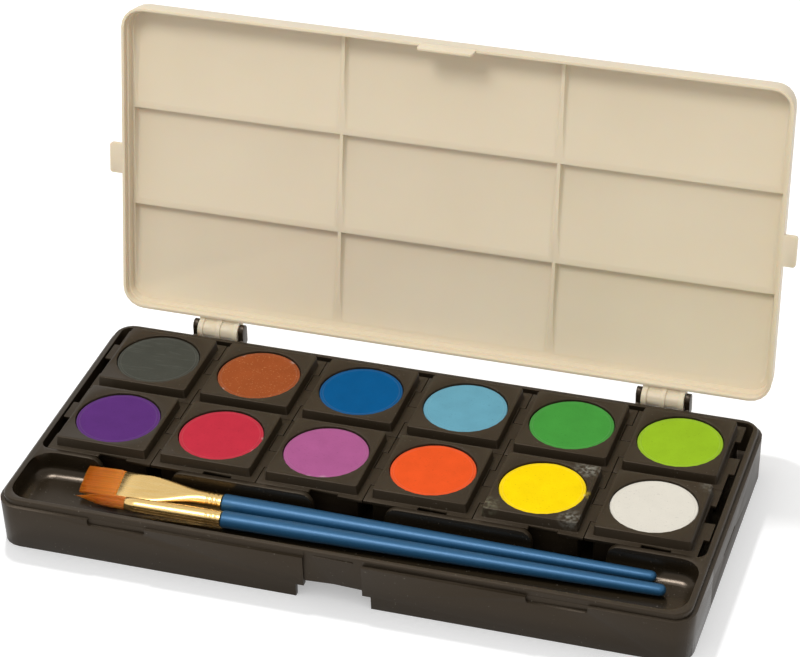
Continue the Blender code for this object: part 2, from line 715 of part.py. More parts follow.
def pan():
    """One pan about its own middle: flange, raised block with its round cup, and the skirt it stands on."""
    low = WELL_FLOOR_Z + CLEAR
    flange_low = FLANGE_Z - FLANGE_THICKNESS
    cup_low = BLOCK_Z - CUP_DEPTH
    steps = PAN_CORNER_STEPS
    inset = 2 * BLOCK_DRAFT
    turn = BLOCK_CORNER
    rings = [
        rounded(PAN_SKIRT_WIDTH, PAN_SKIRT_WIDTH, turn, low, steps=steps),
        rounded(PAN_SKIRT_WIDTH, PAN_SKIRT_WIDTH, turn, FLANGE_Z - HAIR, steps=steps),
        rounded(BLOCK_WIDTH + inset, BLOCK_LENGTH + inset, turn, FLANGE_Z, steps=steps),
        rounded(BLOCK_WIDTH, BLOCK_LENGTH, turn, BLOCK_Z, steps=steps),
    ]
    body = loft("pan_body", rings)
    flange = prism("flange", flange_outline(), "Z", flange_low, FLANGE_Z)
    circle = arc((0, 0), CUP_RADIUS, 0, math.tau, PAINT_STEPS)[:-1]
    cup = prism("cup", circle, "Z", cup_low, BLOCK_Z + OVERRUN)
    hollow_width = PAN_SKIRT_WIDTH - 2 * PAN_SKIRT_WALL
    ends = (low - OVERRUN, cup_low - CUP_FLOOR)
    hollow = loft("hollow", [rounded(hollow_width, hollow_width, turn, z, steps=steps) for z in ends])
    return combine("pan", body, [flange], [cup, hollow])


def tablet():
    """A paint tablet about its own middle, with a bevelled edge and a slightly raised ring inside it."""
    radius = CUP_RADIUS - CLEAR
    low = BLOCK_Z - CUP_DEPTH + CLEAR
    top = BLOCK_Z - PAINT_RECESS
    ring = radius - PAINT_BEVEL - PAINT_RING_WIDTH
    profile = [
        (radius, low),
        (radius, top - PAINT_BEVEL),
        (radius - PAINT_BEVEL, top),
        (ring, top),
        (ring - PAINT_RING_HEIGHT, top - PAINT_RING_HEIGHT),
    ]
    rings = []
    for r, z in profile:
        circle = arc((0, 0), r, 0, math.tau, PAINT_STEPS)[:-1]
        rings.append([(x, y, z) for x, y in circle])
    return loft("tablet", rings)


def pans_and_paints(box):
    """Two rows of six pans, each with its tablet."""
    dark = material("pan_plastic", (0.045, 0.041, 0.034), 0.42)
    pan_mesh = pan()
    for row, names in enumerate((FRONT_ROW, BACK_ROW)):
        y = PANS_FRONT_Y + (row + 0.5) * PAN_PITCH
        for column, name in enumerate(names):
            x = (column - (PAN_COLUMNS - 1) / 2) * PAN_PITCH
            place("pan_" + name, pan_mesh, dark, (x, y, 0), box)
            look = material("paint_" + name, PAINT_COLOURS[name], 0.75)
            place("paint_" + name, tablet(), look, (x, y, 0), box)


def section(along, half_width, half_thickness, power, steps):
    """A closed curve square to the brush: an ellipse at power 2, squarer at a higher one."""
    points = []
    for step in range(steps):
        angle = math.tau * step / steps
        c, s = math.cos(angle), math.sin(angle)
        y = math.copysign(abs(c) ** (2 / power), c) * half_width
        z = math.copysign(abs(s) ** (2 / power), s) * half_thickness
        points.append((along, y, z))
    return points


def crimps(end, radius):
    """The places and radii of the grooves that grip the handle, up to the ferrule's end."""
    rings = []
    start = end - CRIMP_INSET - CRIMP_WIDTH - (CRIMP_COUNT - 1) * CRIMP_PITCH
    for count in range(CRIMP_COUNT):
        at = start + count * CRIMP_PITCH
        rings += [(at, radius), (at + CRIMP_WIDTH / 2, radius - CRIMP_DEPTH), (at + CRIMP_WIDTH, radius)]
    rings.append((end, radius))
    return rings


def ferrule(name, length, mouth, outside, neck_radius):
    """A drawn metal ferrule: a socket for the tuft, the outside, the crimps and the bore for the tenon."""
    steps = FERRULE_STEPS
    half_width, half_thickness, power = mouth
    inner_width, inner_thickness = half_width - FERRULE_WALL, half_thickness - FERRULE_WALL
    rings = [
        section(MOUTH_SOCKET, inner_width, inner_thickness, power, steps),
        section(0, inner_width, inner_thickness, power, steps),
        section(0, half_width, half_thickness, power, steps),
    ]
    rings += [section(*spot, steps) for spot in outside]
    rings += [section(at, r, r, ROUND_POWER, steps) for at, r in crimps(length, neck_radius)]
    bore = neck_radius - FERRULE_WALL - CRIMP_DEPTH
    rings.append(section(length, bore, bore, ROUND_POWER, steps))
    rings.append(section(length - TENON_LENGTH - CLEAR, bore, bore, ROUND_POWER, steps))
    return loft(name, rings)


def handle(name, start, length, neck_radius, radius, end_radius):
    """A turned handle: tenon, body tapering towards its end, and a domed end."""
    tenon = neck_radius - FERRULE_WALL - CRIMP_DEPTH - CLEAR
    first = start + CLEAR
    finish = start + length
    profile = [
        (start - TENON_LENGTH, tenon),
        (first, tenon),
        (first, radius - HANDLE_ROUND),
        (first + HANDLE_ROUND, radius),
        (start + length * HANDLE_STRAIGHT_SHARE, radius),
        (finish - end_radius, end_radius),
    ]
    for share in DOME_SHARES:
        angle = math.pi / 2 * share
        profile.append((finish - end_radius * (1 - math.sin(angle)), end_radius * math.cos(angle)))
    profile.append((finish, end_radius * DOME_TIP_SHARE))
    return loft(name, [section(at, r, r, ROUND_POWER, HANDLE_STEPS) for at, r in profile])


def tuft(name, counts, squareness, stations):
    """Strands standing on one slice: a grid of cells, each drawn in and drawn out on its own.

    A station is (distance out of the mouth, half width, half thickness), the slice's first.
    The cells keep their order from one station to the next, so no strand crosses another.
    """
    across, through = counts
    slice_width, slice_thickness = stations[0][1], stations[0][2]

    def spread(u, v, half_width, half_thickness):
        y = u * math.sqrt(1 - squareness * v * v / 2) * half_width
        z = v * math.sqrt(1 - squareness * u * u / 2) * half_thickness
        return y, z

    def build(shape):
        grid = {}
        for i in range(across + 1):
            for j in range(through + 1):
                u, v = 2 * i / across - 1, 2 * j / through - 1
                y, z = spread(u, v, slice_width, slice_thickness)
                grid[i, j] = shape.verts.new((-stations[0][0], y, z))
        border = [(i, 0) for i in range(across)] + [(across, j) for j in range(through)]
        border += [(i, through) for i in range(across, 0, -1)] + [(0, j) for j in range(through, 0, -1)]
        under = []
        for key in border:
            spot = grid[key].co
            under.append(shape.verts.new((spot.x + SLICE_THICKNESS, spot.y, spot.z)))
        for k, key in enumerate(border):
            after = (k + 1) % len(border)
            shape.faces.new((grid[key], grid[border[after]], under[after], under[k]))
        shape.faces.new(under)
        for i in range(across):
            for j in range(through):
                strand(shape, grid, i, j)

    def strand(shape, grid, i, j):
        corners = [(i, j), (i + 1, j), (i + 1, j + 1), (i, j + 1)]
        ring = [grid[key] for key in corners]
        u, v = 2 * (i + 0.5) / across - 1, 2 * (j + 0.5) / through - 1
        shorter = 1 - ROUND_POINT_SHARE * squareness * (u * u + v * v) / 2
        last = stations[-1][0]
        for count, (out, half_width, half_thickness) in enumerate(stations):
            thin = 1 - (1 - STRAND_TIP_SHARE) * count / (len(stations) - 1)
            keep = (1 - STRAND_GAP_SHARE) * thin
            reach = out if count == 0 else out * shorter if out == last else out * (1 + shorter) / 2
            points = []
            for a, b in corners:
                cell_u, cell_v = 2 * a / across - 1, 2 * b / through - 1
                y, z = spread(u + (cell_u - u) * keep, v + (cell_v - v) * keep, half_width, half_thickness)
                points.append(shape.verts.new((-reach, y, z)))
            for k in range(4):
                n = (k + 1) % 4
                shape.faces.new((ring[k], ring[n], points[n], points[k]))
            ring = points
        shape.faces.new(ring)

    return mesh_of(name, build)


def empty(name, parent=None):
    """A point that pieces hang on."""
    made = bpy.data.objects.new(name, None)
    made.parent = parent
    bpy.context.scene.collection.objects.link(made)
    return made


def brush_frame(name, mouth, end, roll, box):
    """An empty at the mouth of the ferrule, whose X runs along the brush to the end of its handle."""
    made = empty(name, box)
    corner = Vector((TROUGH_LEFT_X, DIVIDER_FRONT_Y, TROUGH_FLOOR_Z))
    mouth, end = [corner + Vector((x, -y, z)) for x, y, z in (mouth, end)]
    along = (end - mouth).normalized()
    side = Vector((0, 0, 1)).cross(along).normalized()
    up = along.cross(side)
    turn = Matrix((along, side, up)).transposed() @ Matrix.Rotation(roll, 3, "X")
    made.matrix_basis = Matrix.Translation(mouth) @ turn.to_4x4()
    return made


def brushes(box):
    """A flat brush and a pointed round one."""
    gold = material("ferrule_gold", (0.72, 0.5, 0.2), 0.3, 1.0)
    blue = material("handle_blue", (0.03, 0.14, 0.3), 0.35, 0.2)
    amber = material("bristle", (0.62, 0.2, 0.02), 0.55)
    half_width, half_thickness = FLAT_MOUTH_WIDTH / 2, FLAT_MOUTH_THICKNESS / 2
    frame = brush_frame("flat_brush", FLAT_MOUTH_AT, FLAT_END_AT, FLAT_ROLL, box)
    neck = FLAT_NECK_RADIUS
    outside = [(FLAT_STRAIGHT, half_width, half_thickness, FLAT_POWER)]
    for share in TAPER_SHARES:
        ease = (1 - math.cos(math.pi * share)) / 2
        at = FLAT_STRAIGHT + (FLAT_TAPER_END - FLAT_STRAIGHT) * share
        width = half_width + (neck - half_width) * ease
        thickness = half_thickness + (neck - half_thickness) * ease
        outside.append((at, width, thickness, FLAT_POWER + (ROUND_POWER - FLAT_POWER) * ease))
    mouth = (half_width, half_thickness, FLAT_POWER)
    mesh = ferrule("flat_ferrule", FLAT_FERRULE_LENGTH, mouth, outside, neck)
    place("flat_brush_ferrule", mesh, gold, parent=frame)
    radii = (neck, FLAT_HANDLE_RADIUS, FLAT_HANDLE_END_RADIUS)
    mesh = handle("flat_handle", FLAT_FERRULE_LENGTH, FLAT_HANDLE_LENGTH, *radii)
    place("flat_brush_handle", mesh, blue, parent=frame)
    inner = FERRULE_WALL + CLEAR
    stations = [
        (-CLEAR, half_width - inner, half_thickness - inner),
        (FLAT_TUFT_LENGTH, FLAT_TIP_WIDTH / 2, FLAT_TIP_THICKNESS / 2),
    ]
    counts = (FLAT_STRAND_COLUMNS, FLAT_STRAND_ROWS)
    place("flat_brush_tuft", tuft("flat_tuft", counts, 0, stations), amber, parent=frame)

    frame = brush_frame("round_brush", ROUND_MOUTH_AT, ROUND_END_AT, 0, box)
    neck = ROUND_NECK_RADIUS
    mouth_radius = ROUND_MOUTH_RADIUS
    half_way = (mouth_radius + neck) / 2
    outside = [(ROUND_FERRULE_LENGTH / 2, half_way, half_way, ROUND_POWER)]
    mouth = (mouth_radius, mouth_radius, ROUND_POWER)
    mesh = ferrule("round_ferrule", ROUND_FERRULE_LENGTH, mouth, outside, neck)
    place("round_brush_ferrule", mesh, gold, parent=frame)
    radii = (neck, ROUND_HANDLE_RADIUS, ROUND_HANDLE_END_RADIUS)
    mesh = handle("round_handle", ROUND_FERRULE_LENGTH, ROUND_HANDLE_LENGTH, *radii)
    place("round_brush_handle", mesh, blue, parent=frame)
    root = mouth_radius - inner
    stations = [
        (-CLEAR, root, root),
        (ROUND_TUFT_LENGTH / 2, ROUND_BELLY_RADIUS, ROUND_BELLY_RADIUS),
        (ROUND_TUFT_LENGTH, ROUND_TIP_RADIUS, ROUND_TIP_RADIUS),
    ]
    counts = (ROUND_STRAND_COLUMNS, ROUND_STRAND_ROWS)
    place("round_brush_tuft", tuft("round_tuft", counts, 1, stations), amber, parent=frame)


def main():
    clear_scene()
    box = empty("box")
    box.location.y = -FOOT_Y
    dark = material("tray_plastic", (0.042, 0.037, 0.03), 0.45)
    cream = material("lid_plastic", (0.68, 0.6, 0.46), 0.45)
    place("tray", tray(), dark, parent=box)
    cover = place("lid", lid(), cream, HINGE_AXIS, box)
    cover.rotation_euler.x = -OPEN_ANGLE
    pans_and_paints(box)
    brushes(box)


main()
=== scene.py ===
# %% [markdown]
# # A gouache paint box
#
# The real object is a school paint box: a dark tray moulded in polypropylene, a cream lid on two hinges
# with nine mixing wells, twelve lift-out pans with tablets of pressed gouache, and two brushes. Its
# solids come from the CAD model. This lesson dresses them: it eases the moulded edges, makes the paint
# and the brushes anew as surfaces worked out with numpy, and gives every piece a finish made of nodes.
# Lengths are in metres, or in millimetres times MM.

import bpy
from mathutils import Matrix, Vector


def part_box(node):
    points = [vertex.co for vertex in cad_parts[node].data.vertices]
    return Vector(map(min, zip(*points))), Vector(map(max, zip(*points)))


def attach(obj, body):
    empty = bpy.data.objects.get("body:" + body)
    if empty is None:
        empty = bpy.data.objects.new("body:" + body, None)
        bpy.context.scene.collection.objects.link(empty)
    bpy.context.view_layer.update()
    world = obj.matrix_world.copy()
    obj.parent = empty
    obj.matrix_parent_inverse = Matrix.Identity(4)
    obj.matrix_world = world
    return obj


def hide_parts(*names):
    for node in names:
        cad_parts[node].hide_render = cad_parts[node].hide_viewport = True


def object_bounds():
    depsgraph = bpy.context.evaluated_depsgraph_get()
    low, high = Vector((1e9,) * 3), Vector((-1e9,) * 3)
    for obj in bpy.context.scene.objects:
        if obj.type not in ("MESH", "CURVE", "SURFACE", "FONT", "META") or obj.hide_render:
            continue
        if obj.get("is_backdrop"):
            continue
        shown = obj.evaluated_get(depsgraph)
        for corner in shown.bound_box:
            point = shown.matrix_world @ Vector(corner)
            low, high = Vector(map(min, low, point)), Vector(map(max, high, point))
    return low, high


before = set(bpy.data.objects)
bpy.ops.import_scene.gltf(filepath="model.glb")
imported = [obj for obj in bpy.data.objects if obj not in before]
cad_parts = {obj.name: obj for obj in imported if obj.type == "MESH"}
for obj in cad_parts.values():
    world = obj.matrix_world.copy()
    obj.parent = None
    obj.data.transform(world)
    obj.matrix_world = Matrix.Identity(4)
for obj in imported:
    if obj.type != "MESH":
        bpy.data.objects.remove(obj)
cad_low, cad_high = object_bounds()
print("solid model:", len(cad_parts), "nodes")

# %% Tools and units
import math

import bmesh
import bpy
import numpy as np
from mathutils import Vector

MM = 0.001
scene = bpy.context.scene
scene.view_settings.view_transform = "Standard"
print("overall size in mm:", [round(v / MM, 1) for v in cad_high - cad_low])

# %% [markdown]
# ## Camera
#
# The box is seen from the front and above, from a little to the right, with a long lens, so that its
# lines hardly converge. A camera could be aimed by eye. Here its place and turn come from fitting the
# outlines of the twelve round tablets, which are all one size, so the picture's frame is the
# photograph's.

# %% Camera
LENS = 135.07
SENSOR_WIDTH = 36
CAMERA_PLACE = (0.27622, -0.86254, 0.62811)
CAMERA_DEGREES = (56.9046, 1.4179, 17.5495)

camera_data = bpy.data.cameras.new("camera")
camera_data.lens = LENS
camera_data.sensor_width = SENSOR_WIDTH
camera = bpy.data.objects.new("camera", camera_data)
camera.location = CAMERA_PLACE
camera.rotation_euler = [math.radians(turn) for turn in CAMERA_DEGREES]
scene.collection.objects.link(camera)
scene.camera = camera
print("camera is", round(camera.location.length, 3), "m from the origin")

# %% [markdown]
# ## Two helpers for nodes
#
# Every finish is a tree of nodes. One small function adds a node, sets it and links it, which keeps each
# finish readable from top to bottom. A second one turns the hex colours that a painter would note into
# the linear light that the renderer counts in.

# %% Node helpers
def add(tree, kind, inputs=None, **settings):
    """Adds a shader node. Settings are its attributes; inputs give sockets a value or a link."""
    node = tree.nodes.new("ShaderNode" + kind)
    for key, value in settings.items():
        setattr(node, key, value)
    for key, value in (inputs or {}).items():
        if isinstance(value, bpy.types.NodeSocket):
            tree.links.new(value, node.inputs[key])
        else:
            node.inputs[key].default_value = value
    return node


def linear(hex_colour):
    """A colour written as #rrggbb, turned to linear RGBA.

    Near black the light is the code over 12.92. Above that it is the code plus 0.055, over 1.055, and
    raised to the power 2.4.
    """
    code = np.array([int(hex_colour[k:k + 2], 16) for k in (1, 3, 5)]) / 255
    light = np.where(code <= 0.04045, code / 12.92, ((code + 0.055) / 1.055) ** 2.4)
    return (*light.tolist(), 1.0)


print("mid grey is", round(linear("#808080")[0], 3), "of full light")

# %% [markdown]
# ## Studio
#
# The photograph is a catalogue shot on white: soft lamps above, white all round, and a pale shadow in
# front and to the right. The world is the white surroundings, and shows as plain white behind the box. It
# lights the box more from above than from the sides, so that upright faces deep in the tray stay dark.
# Where it is seen in gloss it is darker overhead, as a studio's ceiling is, which gives metal something
# to reflect.

# %% World
FILL_LOW, FILL_HIGH = 0.34, 0.85
GLOSS_LOW, GLOSS_HIGH = 1.0, 0.7

world = bpy.data.worlds.new("white_studio")
world.use_nodes = True
tree = world.node_tree
tree.nodes.clear()
rays = add(tree, "LightPath")
direction = add(tree, "SeparateXYZ", {0: add(tree, "TexCoord").outputs["Generated"]})
height = direction.outputs["Z"]
mirrored = add(tree, "MapRange", {0: height, 1: 0.15, 2: 0.8, 3: GLOSS_LOW, 4: GLOSS_HIGH})
fill = add(tree, "MapRange", {0: height, 1: 0.0, 2: 0.9, 3: FILL_LOW, 4: FILL_HIGH})
gloss = add(tree, "Mix", {0: rays.outputs["Is Glossy Ray"], 2: fill.outputs[0], 3: mirrored.outputs[0]})
through = rays.outputs["Is Transmission Ray"]
seen = add(tree, "Math", {0: rays.outputs["Is Camera Ray"], 1: through}, operation="MAXIMUM")
strength = add(tree, "Mix", {0: seen.outputs[0], 2: gloss.outputs[0], 3: 1.0})
sky = add(tree, "Background", {"Color": (1, 1, 1, 1), "Strength": strength.outputs[0]})
add(tree, "OutputWorld", {"Surface": sky.outputs[0]})
scene.world = world
print("world gives from", FILL_LOW, "to", FILL_HIGH, "of the light")

# %% [markdown]
# ## Floor
#
# The floor is a matt white sheet. It glows a little, but only where the camera sees it, straight or in a
# reflection, so that it stays white and still keeps the shadow.

# %% Floor
FLOOR_REACH = 2.0
FLOOR_DROP = 0.05 * MM
FLOOR_WHITE = 0.8
FLOOR_GLOW = 0.36

floor_mesh = bpy.data.meshes.new("floor")
corners = [(-1, -1), (1, -1), (1, 1), (-1, 1)]
places = [(x * FLOOR_REACH, y * FLOOR_REACH, -FLOOR_DROP) for x, y in corners]
floor_mesh.from_pydata(places, [], [(0, 1, 2, 3)])
floor = bpy.data.objects.new("floor", floor_mesh)
scene.collection.objects.link(floor)
sheet = bpy.data.materials.new("matt_white_sheet")
sheet.use_nodes = True
tree = sheet.node_tree
tree.nodes.clear()
rays = add(tree, "LightPath")
camera_ray, glossy_ray = rays.outputs["Is Camera Ray"], rays.outputs["Is Glossy Ray"]
direct = add(tree, "Math", {0: camera_ray, 1: glossy_ray}, operation="MAXIMUM")
through = rays.outputs["Is Transmission Ray"]
seen = add(tree, "Math", {0: direct.outputs[0], 1: through}, operation="MAXIMUM")
lift = add(tree, "Math", {0: seen.outputs[0], 1: FLOOR_GLOW}, operation="MULTIPLY")
paper = add(tree, "BsdfDiffuse", {"Color": (FLOOR_WHITE, FLOOR_WHITE, FLOOR_WHITE, 1)})
glow = add(tree, "Emission", {"Color": (1, 1, 1, 1), "Strength": lift.outputs[0]})
both = add(tree, "AddShader", {0: paper.outputs[0], 1: glow.outputs[0]})
add(tree, "OutputMaterial", {"Surface": both.outputs[0]})
floor_mesh.materials.append(sheet)
floor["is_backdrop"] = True
print("floor lies at z =", -FLOOR_DROP)

# %% [markdown]
# ## Three lamps
#
# One lamp can't do what the photographer's screens did. The key lamp, from the front left, models the
# lid, the paint and the brushes. The top lamp hangs over the tray and lights only the dark plastics,
# whose tops are pale and whose upright faces are nearly black. The ground lamp, high behind on the left,
# lights only the floor, and gives the short grey shadow in front of the tray and to its right. Light
# linking settles which pieces a lamp lights, so each lamp gets its receivers at the end, when all the
# pieces are there.

# %% Lamps
AIM = Vector((0, -0.06, 0.03))
LAMP_DISTANCE = 1.4


def soft_lamp(name, direction, size, power):
    """A round lamp, size metres across, that shines on the box from a direction with power watts."""
    data = bpy.data.lights.new(name, "AREA")
    data.shape = "DISK"
    data.size = size
    data.energy = power
    lamp = bpy.data.objects.new(name, data)
    towards = Vector(direction).normalized()
    lamp.location = AIM + towards * LAMP_DISTANCE
    lamp.rotation_euler = towards.to_track_quat("Z", "Y").to_euler()
    scene.collection.objects.link(lamp)
    return lamp


def light_only(lamp, pieces):
    """Makes a lamp light these pieces and nothing else. They still shade each other."""
    receivers = bpy.data.collections.new("lit_by_" + lamp.name)
    for piece in pieces:
        receivers.objects.link(piece)
    lamp.light_linking.receiver_collection = receivers
    print("the", lamp.name, "lamp lights", len(pieces), "pieces")


key_lamp = soft_lamp("key", (-0.33, -0.776, 1.358), size=0.5, power=8.9)
top_lamp = soft_lamp("top", (-0.3, -0.02, 1.3), size=0.5, power=17.0)
ground_lamp = soft_lamp("ground", (-0.42, 0.62, 1.35), size=0.12, power=8.5)
light_only(ground_lamp, [floor])

# %% [markdown]
# ## Finish: spark-eroded polypropylene
#
# Tray and pans are injection moulded in charcoal polypropylene. The mould was spark-eroded, which leaves
# a fine even grain and a soft sheen, and the brush trough was polished, so it reflects. Grain this fine
# could be an image. A noise in real millimetres does better, because it never repeats and fits every
# side. The real grain is about 0.1 mm and would vanish at this distance, so it is drawn at 0.4 mm. Dust
# and handling show as small pale specks.

# %% Dark plastics
def per(millimetres):
    """The scale of a noise whose features are this many millimetres across."""
    return 1 / (millimetres * MM)


def dark_polypropylene(name, deep, pale, roughness, gloss, relief, polished=None, smudges=()):
    """Charcoal plastic: two near shades mixed by a broad noise, specks of dust, and a fine grain."""
    made = bpy.data.materials.new(name)
    made.use_nodes = True
    tree = made.node_tree
    shader = tree.nodes["Principled BSDF"]
    shader.inputs["IOR"].default_value = 1.49
    shader.inputs["Specular IOR Level"].default_value = gloss
    shader.inputs["Specular Tint"].default_value = linear("#ffe9d2")
    spot = add(tree, "TexCoord").outputs["Object"]
    broad = add(tree, "TexNoise", {"Vector": spot, "Scale": per(22), "Detail": 3.0}).outputs[0]
    shade = add(tree, "Mix", {0: broad, 6: linear(deep), 7: linear(pale)}, data_type="RGBA").outputs[2]
    specks = add(tree, "TexNoise", {"Vector": spot, "Scale": per(0.9), "Detail": 1.0}).outputs[0]
    dust = add(tree, "MapRange", {0: specks, 1: 0.72, 2: 0.8, 3: 0.0, 4: 0.3}).outputs[0]
    shade = add(tree, "Mix", {0: dust, 6: shade, 7: linear("#8a8378")}, data_type="RGBA").outputs[2]
    streaks = add(tree, "TexNoise", {"Vector": spot, "Scale": per(1.6), "Detail": 4.0}).outputs[0]
    for centre, reach, colour, amount in smudges:
        away = add(tree, "VectorMath", {0: spot, 1: centre}, operation="DISTANCE").outputs["Value"]
        near = add(tree, "MapRange", {0: away, 1: reach, 2: 0.0, 3: 0.0, 4: 1.0}).outputs[0]
        patchy = add(tree, "MapRange", {0: streaks, 1: 0.42, 2: 0.62, 3: 0.0, 4: amount}).outputs[0]
        cover = add(tree, "Math", {0: near, 1: patchy}, operation="MULTIPLY").outputs[0]
        shade = add(tree, "Mix", {0: cover, 6: shade, 7: linear(colour)}, data_type="RGBA").outputs[2]
    tree.links.new(shade, shader.inputs["Base Color"])
    spread = {0: broad, 1: 0.3, 2: 0.7, 3: roughness - 0.04, 4: roughness + 0.05}
    dull = add(tree, "MapRange", spread).outputs[0]
    if polished:
        (front, back, top), polish = polished
        place = add(tree, "SeparateXYZ", {0: spot})
        centre, half = (front + back) / 2, (back - front) / 2
        inside = add(tree, "Math", {0: place.outputs["Y"], 1: centre, 2: half}, operation="COMPARE")
        below = add(tree, "Math", {0: place.outputs["Z"], 1: top}, operation="LESS_THAN")
        shiny = add(tree, "Math", {0: inside.outputs[0], 1: below.outputs[0]}, operation="MULTIPLY")
        dull = add(tree, "Mix", {0: shiny.outputs[0], 2: dull, 3: polish}).outputs[0]
    tree.links.new(dull, shader.inputs["Roughness"])
    height = add(tree, "TexNoise", {"Vector": spot, "Scale": per(0.4), "Detail": 2.0}).outputs[0]
    bump = add(tree, "Bump", {"Height": height, "Distance": relief * MM, "Strength": 0.6})
    tree.links.new(bump.outputs[0], shader.inputs["Normal"])
    return made


# A smudge is (x and y from the middle of the yellow pan, reach, both in mm, colour, how dense it is).
SMUDGES = [
    (12.5, 13.5, 6, "#9a9a90", 0.55),
    (13.5, -15.0, 5, "#9a9a90", 0.50),
    (-15.0, -15.0, 5, "#8a8a72", 0.40),
    (15.0, -1.0, 3, "#b39a2a", 0.60),
    (54.5, 14.5, 4, "#8f8f86", 0.35),
]
# The polished trough: its front, its back and the height that it stays under.
TROUGH_FRONT, TROUGH_BACK, TROUGH_TOP = -112.4 * MM, -83.8 * MM, 18.8 * MM
TROUGH_ROUGHNESS = 0.26

yellow_low, yellow_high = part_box("pan_yellow")
middle = (yellow_low + yellow_high) / 2
smudges = [((middle.x + x * MM, middle.y + y * MM, yellow_high.z), reach * MM, colour, amount)
           for x, y, reach, colour, amount in SMUDGES]
tray_finish = dark_polypropylene(
    "spark_eroded_polypropylene", "#1b150c", "#231c12", roughness=0.42, gloss=0.45, relief=0.02,
    polished=((TROUGH_FRONT, TROUGH_BACK, TROUGH_TOP), TROUGH_ROUGHNESS))
pan_finish = dark_polypropylene(
    "matt_polypropylene", "#1f1910", "#292116", roughness=0.45, gloss=0.3, relief=0.03, smudges=smudges)
print("dark finishes:", tray_finish.name, pan_finish.name)

# %% [markdown]
# ## Finish: cream polypropylene
#
# The lid is the same plastic without black pigment. Light enters a thin cream wall and leaves again
# nearby, so thin ridges glow warm. Plain diffuse colour would leave them dull, and subsurface scattering
# lets them glow. Its inside was polished enough for a soft sheen.

# %% Cream plastic
def cream_polypropylene():
    """Cream plastic: scattering of about a wall's thickness, a slow change of shade and a soft sheen."""
    made = bpy.data.materials.new("cream_polypropylene")
    made.use_nodes = True
    tree = made.node_tree
    shader = tree.nodes["Principled BSDF"]
    shader.inputs["IOR"].default_value = 1.49
    shader.inputs["Specular IOR Level"].default_value = 0.35
    shader.inputs["Subsurface Weight"].default_value = 0.35
    shader.inputs["Subsurface Radius"].default_value = (1.0, 0.62, 0.34)
    shader.inputs["Subsurface Scale"].default_value = 1.6 * MM
    spot = add(tree, "TexCoord").outputs["Object"]
    broad = add(tree, "TexNoise", {"Vector": spot, "Scale": per(40), "Detail": 2.0}).outputs[0]
    shades = {0: broad, 6: linear("#dfd0b4"), 7: linear("#e6d8bd")}
    shade = add(tree, "Mix", shades, data_type="RGBA").outputs[2]
    tree.links.new(shade, shader.inputs["Base Color"])
    sheen = add(tree, "MapRange", {0: broad, 1: 0.3, 2: 0.7, 3: 0.34, 4: 0.44}).outputs[0]
    tree.links.new(sheen, shader.inputs["Roughness"])
    height = add(tree, "TexNoise", {"Vector": spot, "Scale": per(0.6), "Detail": 2.0}).outputs[0]
    bump = add(tree, "Bump", {"Height": height, "Distance": 0.01 * MM, "Strength": 0.5})
    tree.links.new(bump.outputs[0], shader.inputs["Normal"])
    return made


lid_finish = cream_polypropylene()
print("lid finish:", lid_finish.name)

# %% [markdown]
# ## Easing the mouldings
#
# The solids have sharp edges, and no moulded part does: every edge is rounded by a few tenths of a
# millimetre, and that round is what catches the light and draws the object's lines. The rounds could be
# modelled one by one. A copy of each solid with its doubles merged and a narrow Bevel does the same
# everywhere.

# %% Eased copies
EASED_ANGLE = 40
EASED_SEGMENTS = 2
MERGE_DISTANCE = 0.001 * MM


def eased(node, body, finish, width):
    """A copy of a solid whose edges sharper than EASED_ANGLE are rounded over by width millimetres."""
    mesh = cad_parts[node].data.copy()
    shape = bmesh.new()
    shape.from_mesh(mesh)
    bmesh.ops.remove_doubles(shape, verts=shape.verts, dist=MERGE_DISTANCE)
    shape.to_mesh(mesh)
    shape.free()
    mesh.polygons.foreach_set("use_smooth", np.ones(len(mesh.polygons), dtype=bool))
    mesh.materials.clear()
    mesh.materials.append(finish)
    piece = bpy.data.objects.new("eased_" + node, mesh)
    scene.collection.objects.link(piece)
    round_over = piece.modifiers.new("round_over", "BEVEL")
    round_over.width = width * MM
    round_over.segments = EASED_SEGMENTS
    round_over.limit_method = "ANGLE"
    round_over.angle_limit = math.radians(EASED_ANGLE)
    round_over.harden_normals = True
    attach(piece, body)
    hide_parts(node)
    return piece


COLOURS = {
    "grey": "#464740", "brown": "#9c4f27", "blue": "#00558c", "sky": "#67a3b8",
    "green": "#43963d", "lime": "#96bd24", "violet": "#592e74", "crimson": "#be2e40",
    "magenta": "#a8598c", "orange": "#e85522", "yellow": "#fad701", "white": "#ded9cd",
}
dark_pieces = [eased("tray", "tray", tray_finish, 0.25)]
bright_pieces = [eased("lid", "lid", lid_finish, 0.3)]
for colour in COLOURS:
    dark_pieces.append(eased("pan_" + colour, "pan_" + colour, pan_finish, 0.15))
print("eased the tray, the lid and", len(COLOURS), "pans")

# %% [markdown]
# ## Surfaces from rings
#
# Paint tablets, ferrules and handles are all round or nearly so. Each one is a stack of rings, and a ring
# is one row of an array. One function turns such an array into a closed mesh: neighbouring rings are
# joined by quads, and a point in the middle of the first and of the last ring closes the ends. Each
# corner also gets a UV in metres, along the piece and around it, for finishes that follow the surface.

